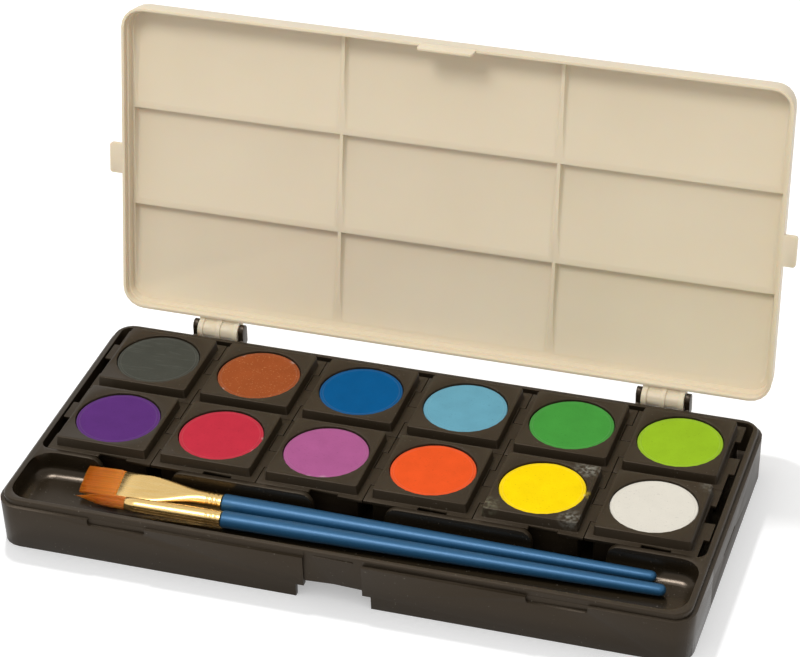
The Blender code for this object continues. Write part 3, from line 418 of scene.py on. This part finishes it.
# %% Ring bodies
def ring_body(name, rings, body, finish, node):
    """A closed mesh from an array of rings (rows, points, xyz) that turn the same way, first to last."""
    rows, points = rings.shape[:2]
    ends = np.stack([rings[0].mean(axis=0), rings[-1].mean(axis=0)])
    places = np.concatenate([rings.reshape(-1, 3), ends])
    row, point = np.meshgrid(np.arange(rows - 1), np.arange(points), indexing="ij")
    after = (point + 1) % points
    here, next_row = row * points, (row + 1) * points
    quads = np.stack([here + point, here + after, next_row + after, next_row + point], axis=-1)
    around = np.arange(points)
    following = (around + 1) % points
    first, last = rows * points, rows * points + 1
    start = np.stack([np.full(points, first), following, around], axis=-1)
    stop = np.stack([np.full(points, last), first - points + around, first - points + following], axis=-1)
    loops = np.concatenate([quads.ravel(), start.ravel(), stop.ravel()])
    mesh = bpy.data.meshes.new(name)
    mesh.vertices.add(len(places))
    mesh.vertices.foreach_set("co", places.ravel())
    sizes = np.concatenate([np.full(quads.size // 4, 4), np.full(2 * points, 3)])
    mesh.loops.add(len(loops))
    mesh.loops.foreach_set("vertex_index", loops)
    mesh.polygons.add(len(sizes))
    mesh.polygons.foreach_set("loop_start", np.concatenate([[0], np.cumsum(sizes)[:-1]]))
    mesh.polygons.foreach_set("use_smooth", np.ones(len(sizes), dtype=bool))
    mesh.update(calc_edges=True)
    step = np.linalg.norm(np.diff(rings, axis=0), axis=2).mean(axis=1)
    along = np.concatenate([[0], np.cumsum(step)])
    girth = np.linalg.norm(rings - np.roll(rings, 1, axis=1), axis=2).sum(axis=1).max()
    u = np.stack([point, point + 1, point + 1, point], axis=-1) / points * girth
    v = np.stack([along[row], along[row], along[row + 1], along[row + 1]], axis=-1)
    fan = np.stack([around + 0.5, around + 1, around], axis=-1) / points * girth
    fan_back = np.stack([around + 0.5, around, around + 1], axis=-1) / points * girth
    us = np.concatenate([u.ravel(), fan.ravel(), fan_back.ravel()])
    vs = np.concatenate([v.ravel(), np.full(fan.size, along[0]), np.full(fan.size, along[-1])])
    mesh.uv_layers.new(name="metres").data.foreach_set("uv", np.stack([us, vs], axis=-1).ravel())
    mesh.materials.append(finish)
    piece = bpy.data.objects.new(name, mesh)
    scene.collection.objects.link(piece)
    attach(piece, body)
    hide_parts(node)
    return piece


def waves(x, y, size, seed, count=24):
    """A gentle uneven height: cosines with random directions and phases, added up.

    The sum is divided by the square root of their number.
    """
    draw = np.random.default_rng(seed)
    angle, phase = draw.uniform(0, 2 * np.pi, (2, count))
    rate = 2 * np.pi / (size * draw.uniform(0.7, 1.6, count))
    swing = np.cos((x[..., None] * np.cos(angle) + y[..., None] * np.sin(angle)) * rate + phase)
    return swing.sum(axis=-1) / math.sqrt(count)


print("ring bodies are closed at both ends")

# %% [markdown]
# ## Finish: pressed gouache
#
# A tablet is pigment, chalk and gum arabic, damped and pressed in a round die. It is dead matt, with a
# fine open grain, faint drifts of shade where the mix was uneven, and small pits, drawn as painted shade:
# small darker spots. The rim and the raised line are painted paler, a painted highlight where their
# rounds catch the light, and chips are painted paler as wear. The brown one is an earth with mica in it
# that sparkles.

# %% Paint finish
def pressed_gouache(name, colour, drift=0.06, mica=0.0, scratches=0.0, relief=0.03):
    """Matt pressed paint: its colour drifts a little, pits get painted shade, and the edges are painted
    paler.
    """
    made = bpy.data.materials.new("pressed_gouache_" + name)
    made.use_nodes = True
    tree = made.node_tree
    shader = tree.nodes["Principled BSDF"]
    shader.inputs["IOR"].default_value = 1.5
    shader.inputs["Specular IOR Level"].default_value = 0.08
    spot = add(tree, "TexCoord").outputs["Object"]
    broad = add(tree, "TexNoise", {"Vector": spot, "Scale": per(7), "Detail": 4.0}).outputs[0]
    light = add(tree, "MapRange", {0: broad, 1: 0.25, 2: 0.75, 3: 1 - drift, 4: 1 + drift}).outputs[0]
    fine = add(tree, "TexNoise", {"Vector": spot, "Scale": per(0.7), "Detail": 2.0}).outputs[0]
    # Small darker spots: painted shade, standing in for the shade inside pits.
    pit_shade = add(tree, "MapRange", {0: fine, 1: 0.26, 2: 0.36, 3: 0.82, 4: 1.0}).outputs[0]
    value = add(tree, "Math", {0: light, 1: pit_shade}, operation="MULTIPLY").outputs[0]
    shade = add(tree, "HueSaturation", {"Value": value, "Color": linear(colour)}).outputs[0]
    # Paler where the attribute is set: a painted highlight on the rim and the raised line, and wear at
    # chips.
    wear_and_highlight = add(tree, "Attribute", attribute_name="wear_and_highlight").outputs["Fac"]
    shade = add(tree, "Mix", {0: wear_and_highlight, 6: shade, 7: linear("#f4efe6")}, data_type="RGBA").outputs[2]
    rough = 0.8
    if scratches:
        stretch = {"Vector": spot, "Rotation": (0, 0, 0.5), "Scale": (1, 9, 1)}
        turned = add(tree, "Mapping", stretch).outputs[0]
        wavy = {"Vector": turned, "Scale": per(9), "Detail": 6.0, "Distortion": 0.6}
        lines = add(tree, "TexNoise", wavy).outputs[0]
        marks = add(tree, "MapRange", {0: lines, 1: 0.58, 2: 0.66, 3: 0.0, 4: scratches}).outputs[0]
        shade = add(tree, "Mix", {0: marks, 6: shade, 7: linear("#8d9488")}, data_type="RGBA").outputs[2]
    if mica:
        flakes = add(tree, "TexVoronoi", {"Vector": spot, "Scale": per(0.3)})
        flake = add(tree, "SeparateColor", {0: flakes.outputs["Color"]}).outputs[0]
        spark = add(tree, "MapRange", {0: flake, 1: 0.96, 2: 0.97, 3: 0.0, 4: mica}).outputs[0]
        shade = add(tree, "Mix", {0: spark, 6: shade, 7: linear("#f0b070")}, data_type="RGBA").outputs[2]
        dull = add(tree, "MapRange", {0: spark, 3: rough, 4: 0.4}).outputs[0]
        tree.links.new(dull, shader.inputs["Roughness"])
    else:
        shader.inputs["Roughness"].default_value = rough
    tree.links.new(shade, shader.inputs["Base Color"])
    height = add(tree, "TexNoise", {"Vector": spot, "Scale": per(0.35), "Detail": 3.0}).outputs[0]
    bump = add(tree, "Bump", {"Height": height, "Distance": relief * MM, "Strength": 0.7})
    tree.links.new(bump.outputs[0], shader.inputs["Normal"])
    return made


SPECIAL = {
    "brown": {"mica": 0.25, "drift": 0.08, "relief": 0.06},
    "grey": {"scratches": 0.06},
    "white": {"drift": 0.03},
}
paint_finishes = {}
for name, colour in COLOURS.items():
    paint_finishes[name] = pressed_gouache(name, colour, **SPECIAL.get(name, {}))
print("paint finishes:", len(paint_finishes))

# %% [markdown]
# ## Paint tablets
#
# A tablet is a disc about 30 mm across, pressed into its pan's cup. Its edge is rounded, a fine raised
# line runs round it a little over 1 mm inside the edge, and the middle is very slightly hollow. A lathe
# profile would give that. The surface is worked out from two parameters instead, the way in from the
# edge and the angle, because then gentle waves and chipped edges can be added to the height at every
# point.

# %% Tablets
EDGE_ROUND = 0.45 * MM
LINE_INSET = 1.25 * MM
LINE_WIDTH = 0.16 * MM
LINE_HEIGHT = 0.12 * MM
HOLLOW = 0.1 * MM
WAVE_HEIGHT = 0.018 * MM
SINK = 0.03 * MM
FOOT = 0.1 * MM
FINE_RING_REACH = 2.2 * MM
INNERMOST_RING = 0.3 * MM
ANGLES = 160
# A chip is (angle round the rim in radians, size in mm).
CHIPS = {
    "brown": [(0.9, 0.8), (2.3, 0.6), (4.0, 0.5)],
    "magenta": [(4.95, 1.0), (4.6, 0.6)],
    "crimson": [(0.15, 0.5), (5.9, 0.5)],
    "grey": [(1.7, 0.4)],
    "white": [(3.2, 0.9)],
    "yellow": [(0.0, 0.5)],
}


def tablet(name, seed):
    """A pressed tablet, from its foot over the rim to its middle.

    Its height follows a quarter round at the rim, a narrow bell at the raised line and a shallow parabola
    over the whole. Waves and chips are added to it.
    """
    low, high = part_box("paint_" + name)
    centre, radius = (low + high) / 2, (high.x - low.x) / 2
    quarter = np.linspace(0, np.pi / 2, 7)
    edge = radius - EDGE_ROUND * (1 - np.cos(quarter))
    drop = EDGE_ROUND * (1 - np.sin(quarter))
    fine_end = radius - FINE_RING_REACH
    fine, coarse = np.linspace(edge[-1], fine_end, 18)[1:], np.linspace(fine_end, INNERMOST_RING, 26)[1:]
    inside = np.concatenate([fine, coarse])
    reach = np.concatenate([[radius - FOOT, radius], edge, inside])
    line = LINE_HEIGHT * np.exp(-((radius - LINE_INSET - inside) / LINE_WIDTH) ** 2)
    sunk = HOLLOW * (1 - (inside / radius) ** 2)
    face = high.z - LINE_HEIGHT
    height = np.concatenate([[low.z, low.z + FOOT], face - drop, face + line - sunk])
    angle = np.arange(ANGLES) / ANGLES * 2 * np.pi
    x, y = reach[:, None] * np.cos(angle), reach[:, None] * np.sin(angle)
    top = np.arange(len(reach)) >= 4
    level = np.repeat(height[:, None], ANGLES, axis=1)
    uneven = waves(x, y, 6 * MM, seed) + 0.6 * waves(x, y, 2 * MM, seed + 50)
    level += np.where(top[:, None], WAVE_HEIGHT * uneven - SINK, 0)
    # The rim's round and the raised line are painted paler, a painted highlight where they catch the
    # light.
    rim_highlight = np.exp(-((reach - radius + 0.25 * MM) / (0.3 * MM)) ** 2) * 0.03
    line_highlight = np.exp(-((reach - radius + LINE_INSET) / (0.2 * MM)) ** 2) * 0.03
    wear_and_highlight = np.where(top, rim_highlight, 0)[:, None] * np.ones(ANGLES)
    wear_and_highlight += np.where(top, line_highlight, 0)[:, None]
    for where, size in CHIPS.get(name, []):
        apart = np.hypot(x - radius * math.cos(where), y - radius * math.sin(where))
        bite = np.exp(-(apart / (size * MM)) ** 2) * top[:, None]
        level -= 0.35 * size * MM * bite
        # Chips are painted paler too, as wear where the paint broke.
        wear_and_highlight += 0.5 * bite
    rings = np.stack([centre.x + x, centre.y + y, np.minimum(level, high.z)], axis=-1)
    node = "paint_" + name
    piece = ring_body("tablet_" + name, rings, "pan_" + name, paint_finishes[name], node)
    # Kept at every point for the paint finish: painted highlight on the edges, and wear at the chips.
    pale_by_wear_and_highlight = np.concatenate([wear_and_highlight.ravel(), [0, 0]]).astype(np.float32)
    piece.data.attributes.new("wear_and_highlight", "FLOAT", "POINT").data.foreach_set("value", np.clip(pale_by_wear_and_highlight, 0, 1))
    return piece


tablets = [tablet(colour, seed) for seed, colour in enumerate(COLOURS)]
print("tablets:", len(tablets), "with", len(tablets[0].data.polygons), "faces each")

# %% [markdown]
# ## Brush frames
#
# Both brushes lie in the trough, tufts to the left. A brush is easiest to work out along its own axis: x
# along it from the mouth of the ferrule, y across and z up. Three unit vectors then carry it to its
# place. The brushes' places are given in mm from the middle of the tray, which is 57 mm in front of the
# origin.

# %% Brush frames
TRAY_MIDDLE = Vector((0, -57 * MM, 0))


class Brush:
    """A brush's own axes: a point goes x along the brush from its mouth, y to the side and z up.

    The brush runs from its mouth to its end, and is rolled about its axis by an angle in degrees.
    """

    def __init__(self, mouth, end, roll):
        self.mouth = np.array(Vector(mouth) * MM + TRAY_MIDDLE)
        along = np.array(Vector(end) * MM + TRAY_MIDDLE) - self.mouth
        along /= np.linalg.norm(along)
        side = np.cross((0, 0, 1), along)
        side /= np.linalg.norm(side)
        up = np.cross(along, side)
        c, s = math.cos(math.radians(roll)), math.sin(math.radians(roll))
        self.axes = np.stack([along, side * c + up * s, up * c - side * s])

    def place(self, points):
        return self.mouth + points @ self.axes


flat_brush = Brush(mouth=(-85.7, -33, 14.3), end=(104.5, -31.3, 12.8), roll=18)
round_brush = Brush(mouth=(-80.3, -42.4, 14.25), end=(109.5, -37.7, 12.8), roll=0)
print("the flat brush's mouth is at", flat_brush.mouth.round(4))

# %% [markdown]
# ## Finish: gilded brass
#
# The ferrules are brass tube, drawn and gilded: a soft mirror with faint lines along it. The lines come
# from a noise that is stretched along the tube on the UV map.

# %% Ferrule metal
def drawn_brass():
    """Gilded brass: metallic, with faint lines along the tube in its shade, roughness and relief."""
    made = bpy.data.materials.new("drawn_brass")
    made.use_nodes = True
    tree = made.node_tree
    shader = tree.nodes["Principled BSDF"]
    shader.inputs["Metallic"].default_value = 1.0
    spot = add(tree, "UVMap", uv_map="metres").outputs[0]
    drawn = add(tree, "Mapping", {"Vector": spot, "Scale": (per(0.25), per(12), 1)}).outputs[0]
    lines = add(tree, "TexNoise", {"Vector": drawn, "Scale": 1.0, "Detail": 3.0}).outputs[0]
    shades = {0: lines, 6: linear("#fccb78"), 7: linear("#ffe3a2")}
    shade = add(tree, "Mix", shades, data_type="RGBA").outputs[2]
    tree.links.new(shade, shader.inputs["Base Color"])
    polish = add(tree, "MapRange", {0: lines, 1: 0.3, 2: 0.7, 3: 0.2, 4: 0.32}).outputs[0]
    tree.links.new(polish, shader.inputs["Roughness"])
    bump = add(tree, "Bump", {"Height": lines, "Distance": 0.004 * MM, "Strength": 0.5})
    tree.links.new(bump.outputs[0], shader.inputs["Normal"])
    return made


brass = drawn_brass()
print("ferrule finish:", brass.name)

# %% [markdown]
# ## Finish: blue lacquer
#
# The handles are turned wood under a blue metallic lacquer. Fine flakes in it vary both the shade and the
# reflection, and a thin clear coat lies on top.

# %% Handle lacquer
def blue_lacquer():
    """Metallic lacquer: fine flakes vary the blue and the reflection, under a smooth clear coat."""
    made = bpy.data.materials.new("blue_metallic_lacquer")
    made.use_nodes = True
    tree = made.node_tree
    shader = tree.nodes["Principled BSDF"]
    shader.inputs["Metallic"].default_value = 0.5
    shader.inputs["Coat Weight"].default_value = 0.25
    shader.inputs["Coat Roughness"].default_value = 0.3
    spot = add(tree, "TexCoord").outputs["Object"]
    flakes = add(tree, "TexNoise", {"Vector": spot, "Scale": per(0.5), "Detail": 3.0}).outputs[0]
    shades = {0: flakes, 6: linear("#1d5178"), 7: linear("#2c658c")}
    shade = add(tree, "Mix", shades, data_type="RGBA").outputs[2]
    tree.links.new(shade, shader.inputs["Base Color"])
    dull = add(tree, "MapRange", {0: flakes, 1: 0.3, 2: 0.7, 3: 0.4, 4: 0.52}).outputs[0]
    tree.links.new(dull, shader.inputs["Roughness"])
    bump = add(tree, "Bump", {"Height": flakes, "Distance": 0.006 * MM, "Strength": 0.5})
    tree.links.new(bump.outputs[0], shader.inputs["Normal"])
    return made


lacquer = blue_lacquer()
print("handle finish:", lacquer.name)

# %% [markdown]
# ## Finish: nylon hairs
#
# The hairs are orange-brown nylon, paler at the root, where they are packed and light passes through
# them, and darker at the tip. Each mesh of hairs carries two numbers at every point for this: the way
# from root to tip, and a random one for each hair.

# %% Nylon hairs
def nylon_hair(name, root, tip):
    """Nylon filament: its colour runs from root to tip, and light passes through.

    Each hair has its own shade.
    """
    made = bpy.data.materials.new(name)
    made.use_nodes = True
    tree = made.node_tree
    shader = tree.nodes["Principled BSDF"]
    shader.inputs["Roughness"].default_value = 0.38
    shader.inputs["Specular IOR Level"].default_value = 0.4
    shader.inputs["Subsurface Weight"].default_value = 0.6
    shader.inputs["Subsurface Radius"].default_value = (1.0, 0.5, 0.15)
    shader.inputs["Subsurface Scale"].default_value = 1.0 * MM
    way = add(tree, "Attribute", attribute_name="way").outputs["Fac"]
    shade = add(tree, "Mix", {0: way, 6: linear(root), 7: linear(tip)}, data_type="RGBA").outputs[2]
    own = add(tree, "Attribute", attribute_name="hair").outputs["Fac"]
    value = add(tree, "MapRange", {0: own, 3: 0.85, 4: 1.15}).outputs[0]
    shade = add(tree, "HueSaturation", {"Value": value, "Color": shade}).outputs[0]
    tree.links.new(shade, shader.inputs["Base Color"])
    return made


flat_hair = nylon_hair("flat_nylon_hair", "#f2801c", "#e0660e")
round_hair = nylon_hair("round_nylon_hair", "#ee7a1c", "#d8600e")
print("hair finishes:", flat_hair.name, round_hair.name)

# %% [markdown]
# ## Ferrules and handles
#
# The flat brush's ferrule starts as a round tube and is pressed flat at its mouth, and three grooves
# crimp each ferrule to its handle. A superellipse describes every section: power 2 is round, and higher
# powers are squarer. The handles are turned: a plain taper with a domed end. Sizes are in mm here.

# %% Sections along a brush
SIDES = 64
WALL = 0.3
GROOVE_WIDTH = 0.9
GROOVE_DEPTH = 0.2
GROOVE_PITCH = 1.7
LAST_GROOVE = 2.1
TENON = 9
GAP = 0.3
SHOULDER_ROUND = 0.5


def lofted(brush, stations):
    """Rings along a brush. A station is (x, half width, half thickness, power).

    At an angle, the ring's point lies at the half width times the cosine raised to 2 over the power, with
    its sign kept, and at the half thickness times the sine raised likewise.
    """
    x, wide, thick, power = np.array(stations, dtype=float).T[:, :, None]
    angle = np.arange(SIDES) / SIDES * 2 * np.pi
    c, s = np.cos(angle), np.sin(angle)
    y = np.sign(c) * np.abs(c) ** (2 / power) * wide
    z = np.sign(s) * np.abs(s) ** (2 / power) * thick
    return brush.place(np.stack([np.broadcast_to(x, y.shape), y, z], axis=-1) * MM)


def crimped(start, stop, radius, grooves, count=60):
    """Stations of a round tube whose radius dips as half a sine in each groove."""
    x = np.linspace(start, stop, count)
    dip = np.zeros(count)
    for groove in grooves:
        inside = np.clip((x - groove) / GROOVE_WIDTH, 0, 1)
        dip = dip + GROOVE_DEPTH * np.sin(np.pi * inside)
    return [(at, radius - low, radius - low, 2) for at, low in zip(x, dip)]


def pressed(straight, taper_end, wide, thick, neck, count=26):
    """Stations from the flat mouth to the round neck.

    The ease is three times the square of the way along, less twice its cube.
    """
    t = np.linspace(0, 1, count)
    ease = t * t * (3 - 2 * t)
    x = straight + (taper_end - straight) * t
    return list(zip(x, wide + (neck - wide) * ease, thick + (neck - thick) * ease, 5 - 3 * ease))


def ferrule(brush, name, length, mouth, outside, neck):
    """Socket of the tuft, lip of the mouth, outside, crimps, and the bore for the handle's tenon."""
    wide, thick, power = mouth
    bore = neck - WALL - GROOVE_DEPTH
    grooves = [length - LAST_GROOVE - GROOVE_PITCH * k for k in (2, 1, 0)]
    stations = [(2, wide - WALL, thick - WALL, power), (0.05, wide - WALL, thick - WALL, power)]
    stations += [(0, wide - WALL / 2, thick - WALL / 2, power), (0.05, wide, thick, power)]
    stations += outside + crimped(grooves[0] - 0.4, length - 0.15, neck, grooves)
    stations += [(length, neck - 0.12, neck - 0.12, 2), (length, bore, bore, 2)]
    stations += [(length - TENON - GAP, bore, bore, 2)]
    node = name + "_brush_ferrule"
    rings = lofted(brush, stations)
    return ring_body(name + "_ferrule", rings, name + "_brush", brass, node)


def handle(brush, name, start, length, neck, radius, end_radius):
    """Tenon, a small round, a body that tapers from its first sixth on, and a dome."""
    tenon, first = neck - WALL - GROOVE_DEPTH - GAP, start + GAP
    turn = np.linspace(0, np.pi / 2, 8)
    profile = [(start - TENON, tenon), (first, tenon)]
    for a in turn:
        drop = SHOULDER_ROUND * (1 - math.sin(a))
        profile.append((first + SHOULDER_ROUND * (1 - math.cos(a)), radius - drop))
    t = np.linspace(0, 1, 40)[1:]
    body = radius + (end_radius - radius) * np.clip(t * 6 / 5 - 1 / 5, 0, 1)
    finish = start + length
    x = first + SHOULDER_ROUND + (finish - end_radius - first - SHOULDER_ROUND) * t
    profile += list(zip(x, body))
    for a in turn[1:]:
        at_dome = max(end_radius * math.cos(a), 0.05)
        profile.append((finish - end_radius * (1 - math.sin(a)), at_dome))
    rings = lofted(brush, [(at, r, r, 2) for at, r in profile])
    node = name + "_brush_handle"
    return ring_body(name + "_handle", rings, name + "_brush", lacquer, node)


# A ferrule has a length, a mouth's half width and half thickness, and a neck's radius. A handle has a
# length, the neck's radius, its own radius and its end's radius.
FLAT_FERRULE, FLAT_WIDE, FLAT_THICK, FLAT_NECK = 37.5, 5.6, 1.5, 2.9
FLAT_HANDLE = (153, FLAT_NECK, 3.2, 1.9)
ROUND_FERRULE, ROUND_MOUTH, ROUND_NECK = 34.9, 2.4, 2.75
ROUND_HANDLE = (155, ROUND_NECK, 3.05, 2.1)
PRESSED_START, PRESSED_END = 9, 30.5
SWELLING_END = 28

swelling = []
for x in range(4, SWELLING_END + 1, 4):
    radius = ROUND_MOUTH + (ROUND_NECK - ROUND_MOUTH) * x / SWELLING_END
    swelling.append((x, radius, radius, 2))
flat_outside = pressed(PRESSED_START, PRESSED_END, FLAT_WIDE, FLAT_THICK, FLAT_NECK)
flat_mouth, round_mouth = (FLAT_WIDE, FLAT_THICK, 5), (ROUND_MOUTH, ROUND_MOUTH, 2)
bright_pieces += [
    ferrule(flat_brush, "flat", FLAT_FERRULE, flat_mouth, flat_outside, FLAT_NECK),
    handle(flat_brush, "flat", FLAT_FERRULE, *FLAT_HANDLE),
    ferrule(round_brush, "round", ROUND_FERRULE, round_mouth, swelling, ROUND_NECK),
    handle(round_brush, "round", ROUND_FERRULE, *ROUND_HANDLE),
]
print("two ferrules and two handles, with", SIDES, "sides")

# %% [markdown]
# ## Tufts
#
# A tuft is hundreds of nylon hairs set in the ferrule. A hair system would not survive the export, so
# every hair is a thin closed tube, and all of them are worked out at once: one array holds each hair's
# centre line, and a second adds a small four-sided section round it. Hairs keep their order from root to
# tip, so they hardly cross.

# %% Hairs
def hairs(brush, name, x, y, z, thickness, slot, finish, seed):
    """All hairs of a tuft as one mesh. Arrays x, y, z hold centre lines (hairs, stations) in mm."""
    count, stations = x.shape
    draw = np.random.default_rng(seed)
    turn = draw.uniform(0, np.pi / 2, count)[:, None, None] + np.arange(4) * np.pi / 2
    thin = thickness * np.linspace(1, 0.45, stations)[None, :, None]
    points = np.stack([
        np.repeat(x[..., None], 4, axis=2),
        y[..., None] + thin * np.cos(turn),
        z[..., None] + thin * np.sin(turn),
    ], axis=-1)
    places = brush.place(points.reshape(-1, 3) * MM)
    numbers = (np.arange(count), np.arange(stations - 1), np.arange(4))
    hair, station, corner = np.meshgrid(*numbers, indexing="ij")
    base = (hair * stations + station) * 4
    after = (corner + 1) % 4
    sides = np.stack([base + corner, base + 4 + corner, base + 4 + after, base + after], axis=-1)
    sides = sides.reshape(-1, 4)
    root = np.arange(count)[:, None] * stations * 4
    roots = root + np.array([0, 1, 2, 3])
    tips = root + (stations - 1) * 4 + np.array([3, 2, 1, 0])
    faces = np.concatenate([sides, roots, tips])
    mesh = bpy.data.meshes.new(name + "_hairs")
    mesh.from_pydata(places.tolist(), [], faces.tolist())
    mesh.polygons.foreach_set("use_smooth", np.ones(len(faces), dtype=bool))
    way = np.repeat(np.tile(np.linspace(0, 1, stations), count), 4).astype(np.float32)
    own = np.repeat(draw.uniform(0, 1, count), stations * 4).astype(np.float32)
    mesh.attributes.new("way", "FLOAT", "POINT").data.foreach_set("value", way)
    mesh.attributes.new("hair", "FLOAT", "POINT").data.foreach_set("value", own)
    mesh.materials.append(finish)
    piece = bpy.data.objects.new(name + "_hairs", mesh)
    scene.collection.objects.link(piece)
    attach(piece, name + "_brush")
    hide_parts(name + "_brush_tuft")
    return piece


# In mm: the depth of the roots in the mouth, the way in which the hairs spread, the longest hairs of each
# tuft, the way in which the round tuft closes to its point, and the radius of a hair.
SOCKET = 1.6
SPREADING = 2.6
FLAT_HAIR = 14.2
ROUND_HAIR = 18.7
ROUND_POINT = 18.9
FLAT_FIBRE, ROUND_FIBRE = 0.095, 0.08


def flat_tuft(across=64, through=11, stations=6):
    """A slab of hairs that thins to a chisel edge outside the mouth. Their lengths differ by a little."""
    draw = np.random.default_rng(3)
    u, v = np.meshgrid(np.linspace(-1, 1, across), np.linspace(-1, 1, through), indexing="ij")
    u, v = u.ravel()[:, None], v.ravel()[:, None]
    t = np.linspace(0, 1, stations)[None, :]
    length = FLAT_HAIR - 0.35 * draw.uniform(0, 1, u.shape) - 0.25 * np.abs(u) ** 3
    x = SOCKET - (SOCKET + length) * t
    out = np.clip(-x / length, 0, 1)
    freed = np.clip((SOCKET - x) / SPREADING, 0, 1)
    wide = 5.0 + 0.5 * freed
    thick = (1.0 + 0.3 * freed) * (1 - 0.66 * out ** 1.2)
    sway = 0.03 * draw.normal(0, 1, u.shape) * t
    return x, u * wide + sway, v * thick


def round_tuft(count=520, stations=8):
    """A pointed tuft: hairs spread as a sunflower's seeds. The radius swells, then closes to a point."""
    draw = np.random.default_rng(4)
    k = np.arange(count) + 0.5
    reach, angle = np.sqrt(k / count)[:, None], (k * np.pi * (3 - math.sqrt(5)))[:, None]
    t = np.linspace(0, 1, stations)[None, :]
    length = ROUND_HAIR * (1 - 0.42 * reach ** 2) - 0.3 * draw.uniform(0, 1, reach.shape)
    out = (SOCKET + length) * t
    x = SOCKET - out
    along = np.clip((out - SOCKET) / ROUND_POINT, 0, 1)
    swell = 1.8 + 0.45 * np.clip(out / SPREADING, 0, 1)
    radius = reach * swell * (1 - 0.93 * np.clip((along - 0.2) / 0.8, 0, 1) ** 1.9)
    return x, radius * np.cos(angle), radius * np.sin(angle)


flat_piece = hairs(flat_brush, "flat", *flat_tuft(), FLAT_FIBRE, "brush_bristle", flat_hair, 5)
round_piece = hairs(round_brush, "round", *round_tuft(), ROUND_FIBRE, "brush_bristle", round_hair, 6)
print("hair faces:", len(flat_piece.data.polygons), len(round_piece.data.polygons))

# %% [markdown]
# ## What each lamp lights
#
# Now that every piece is there, the key lamp gets the lid, the paint and the brushes, and the top lamp
# the tray and the pans.

# %% Receivers
light_only(key_lamp, bright_pieces + tablets + [flat_piece, round_piece])
light_only(top_lamp, dark_pieces)

# %% Finish
seen_low, seen_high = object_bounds()
growth = zip(seen_high - seen_low, cad_high - cad_low)
print("grown by, in mm:", [round((seen - cad) / MM, 2) for seen, cad in growth])
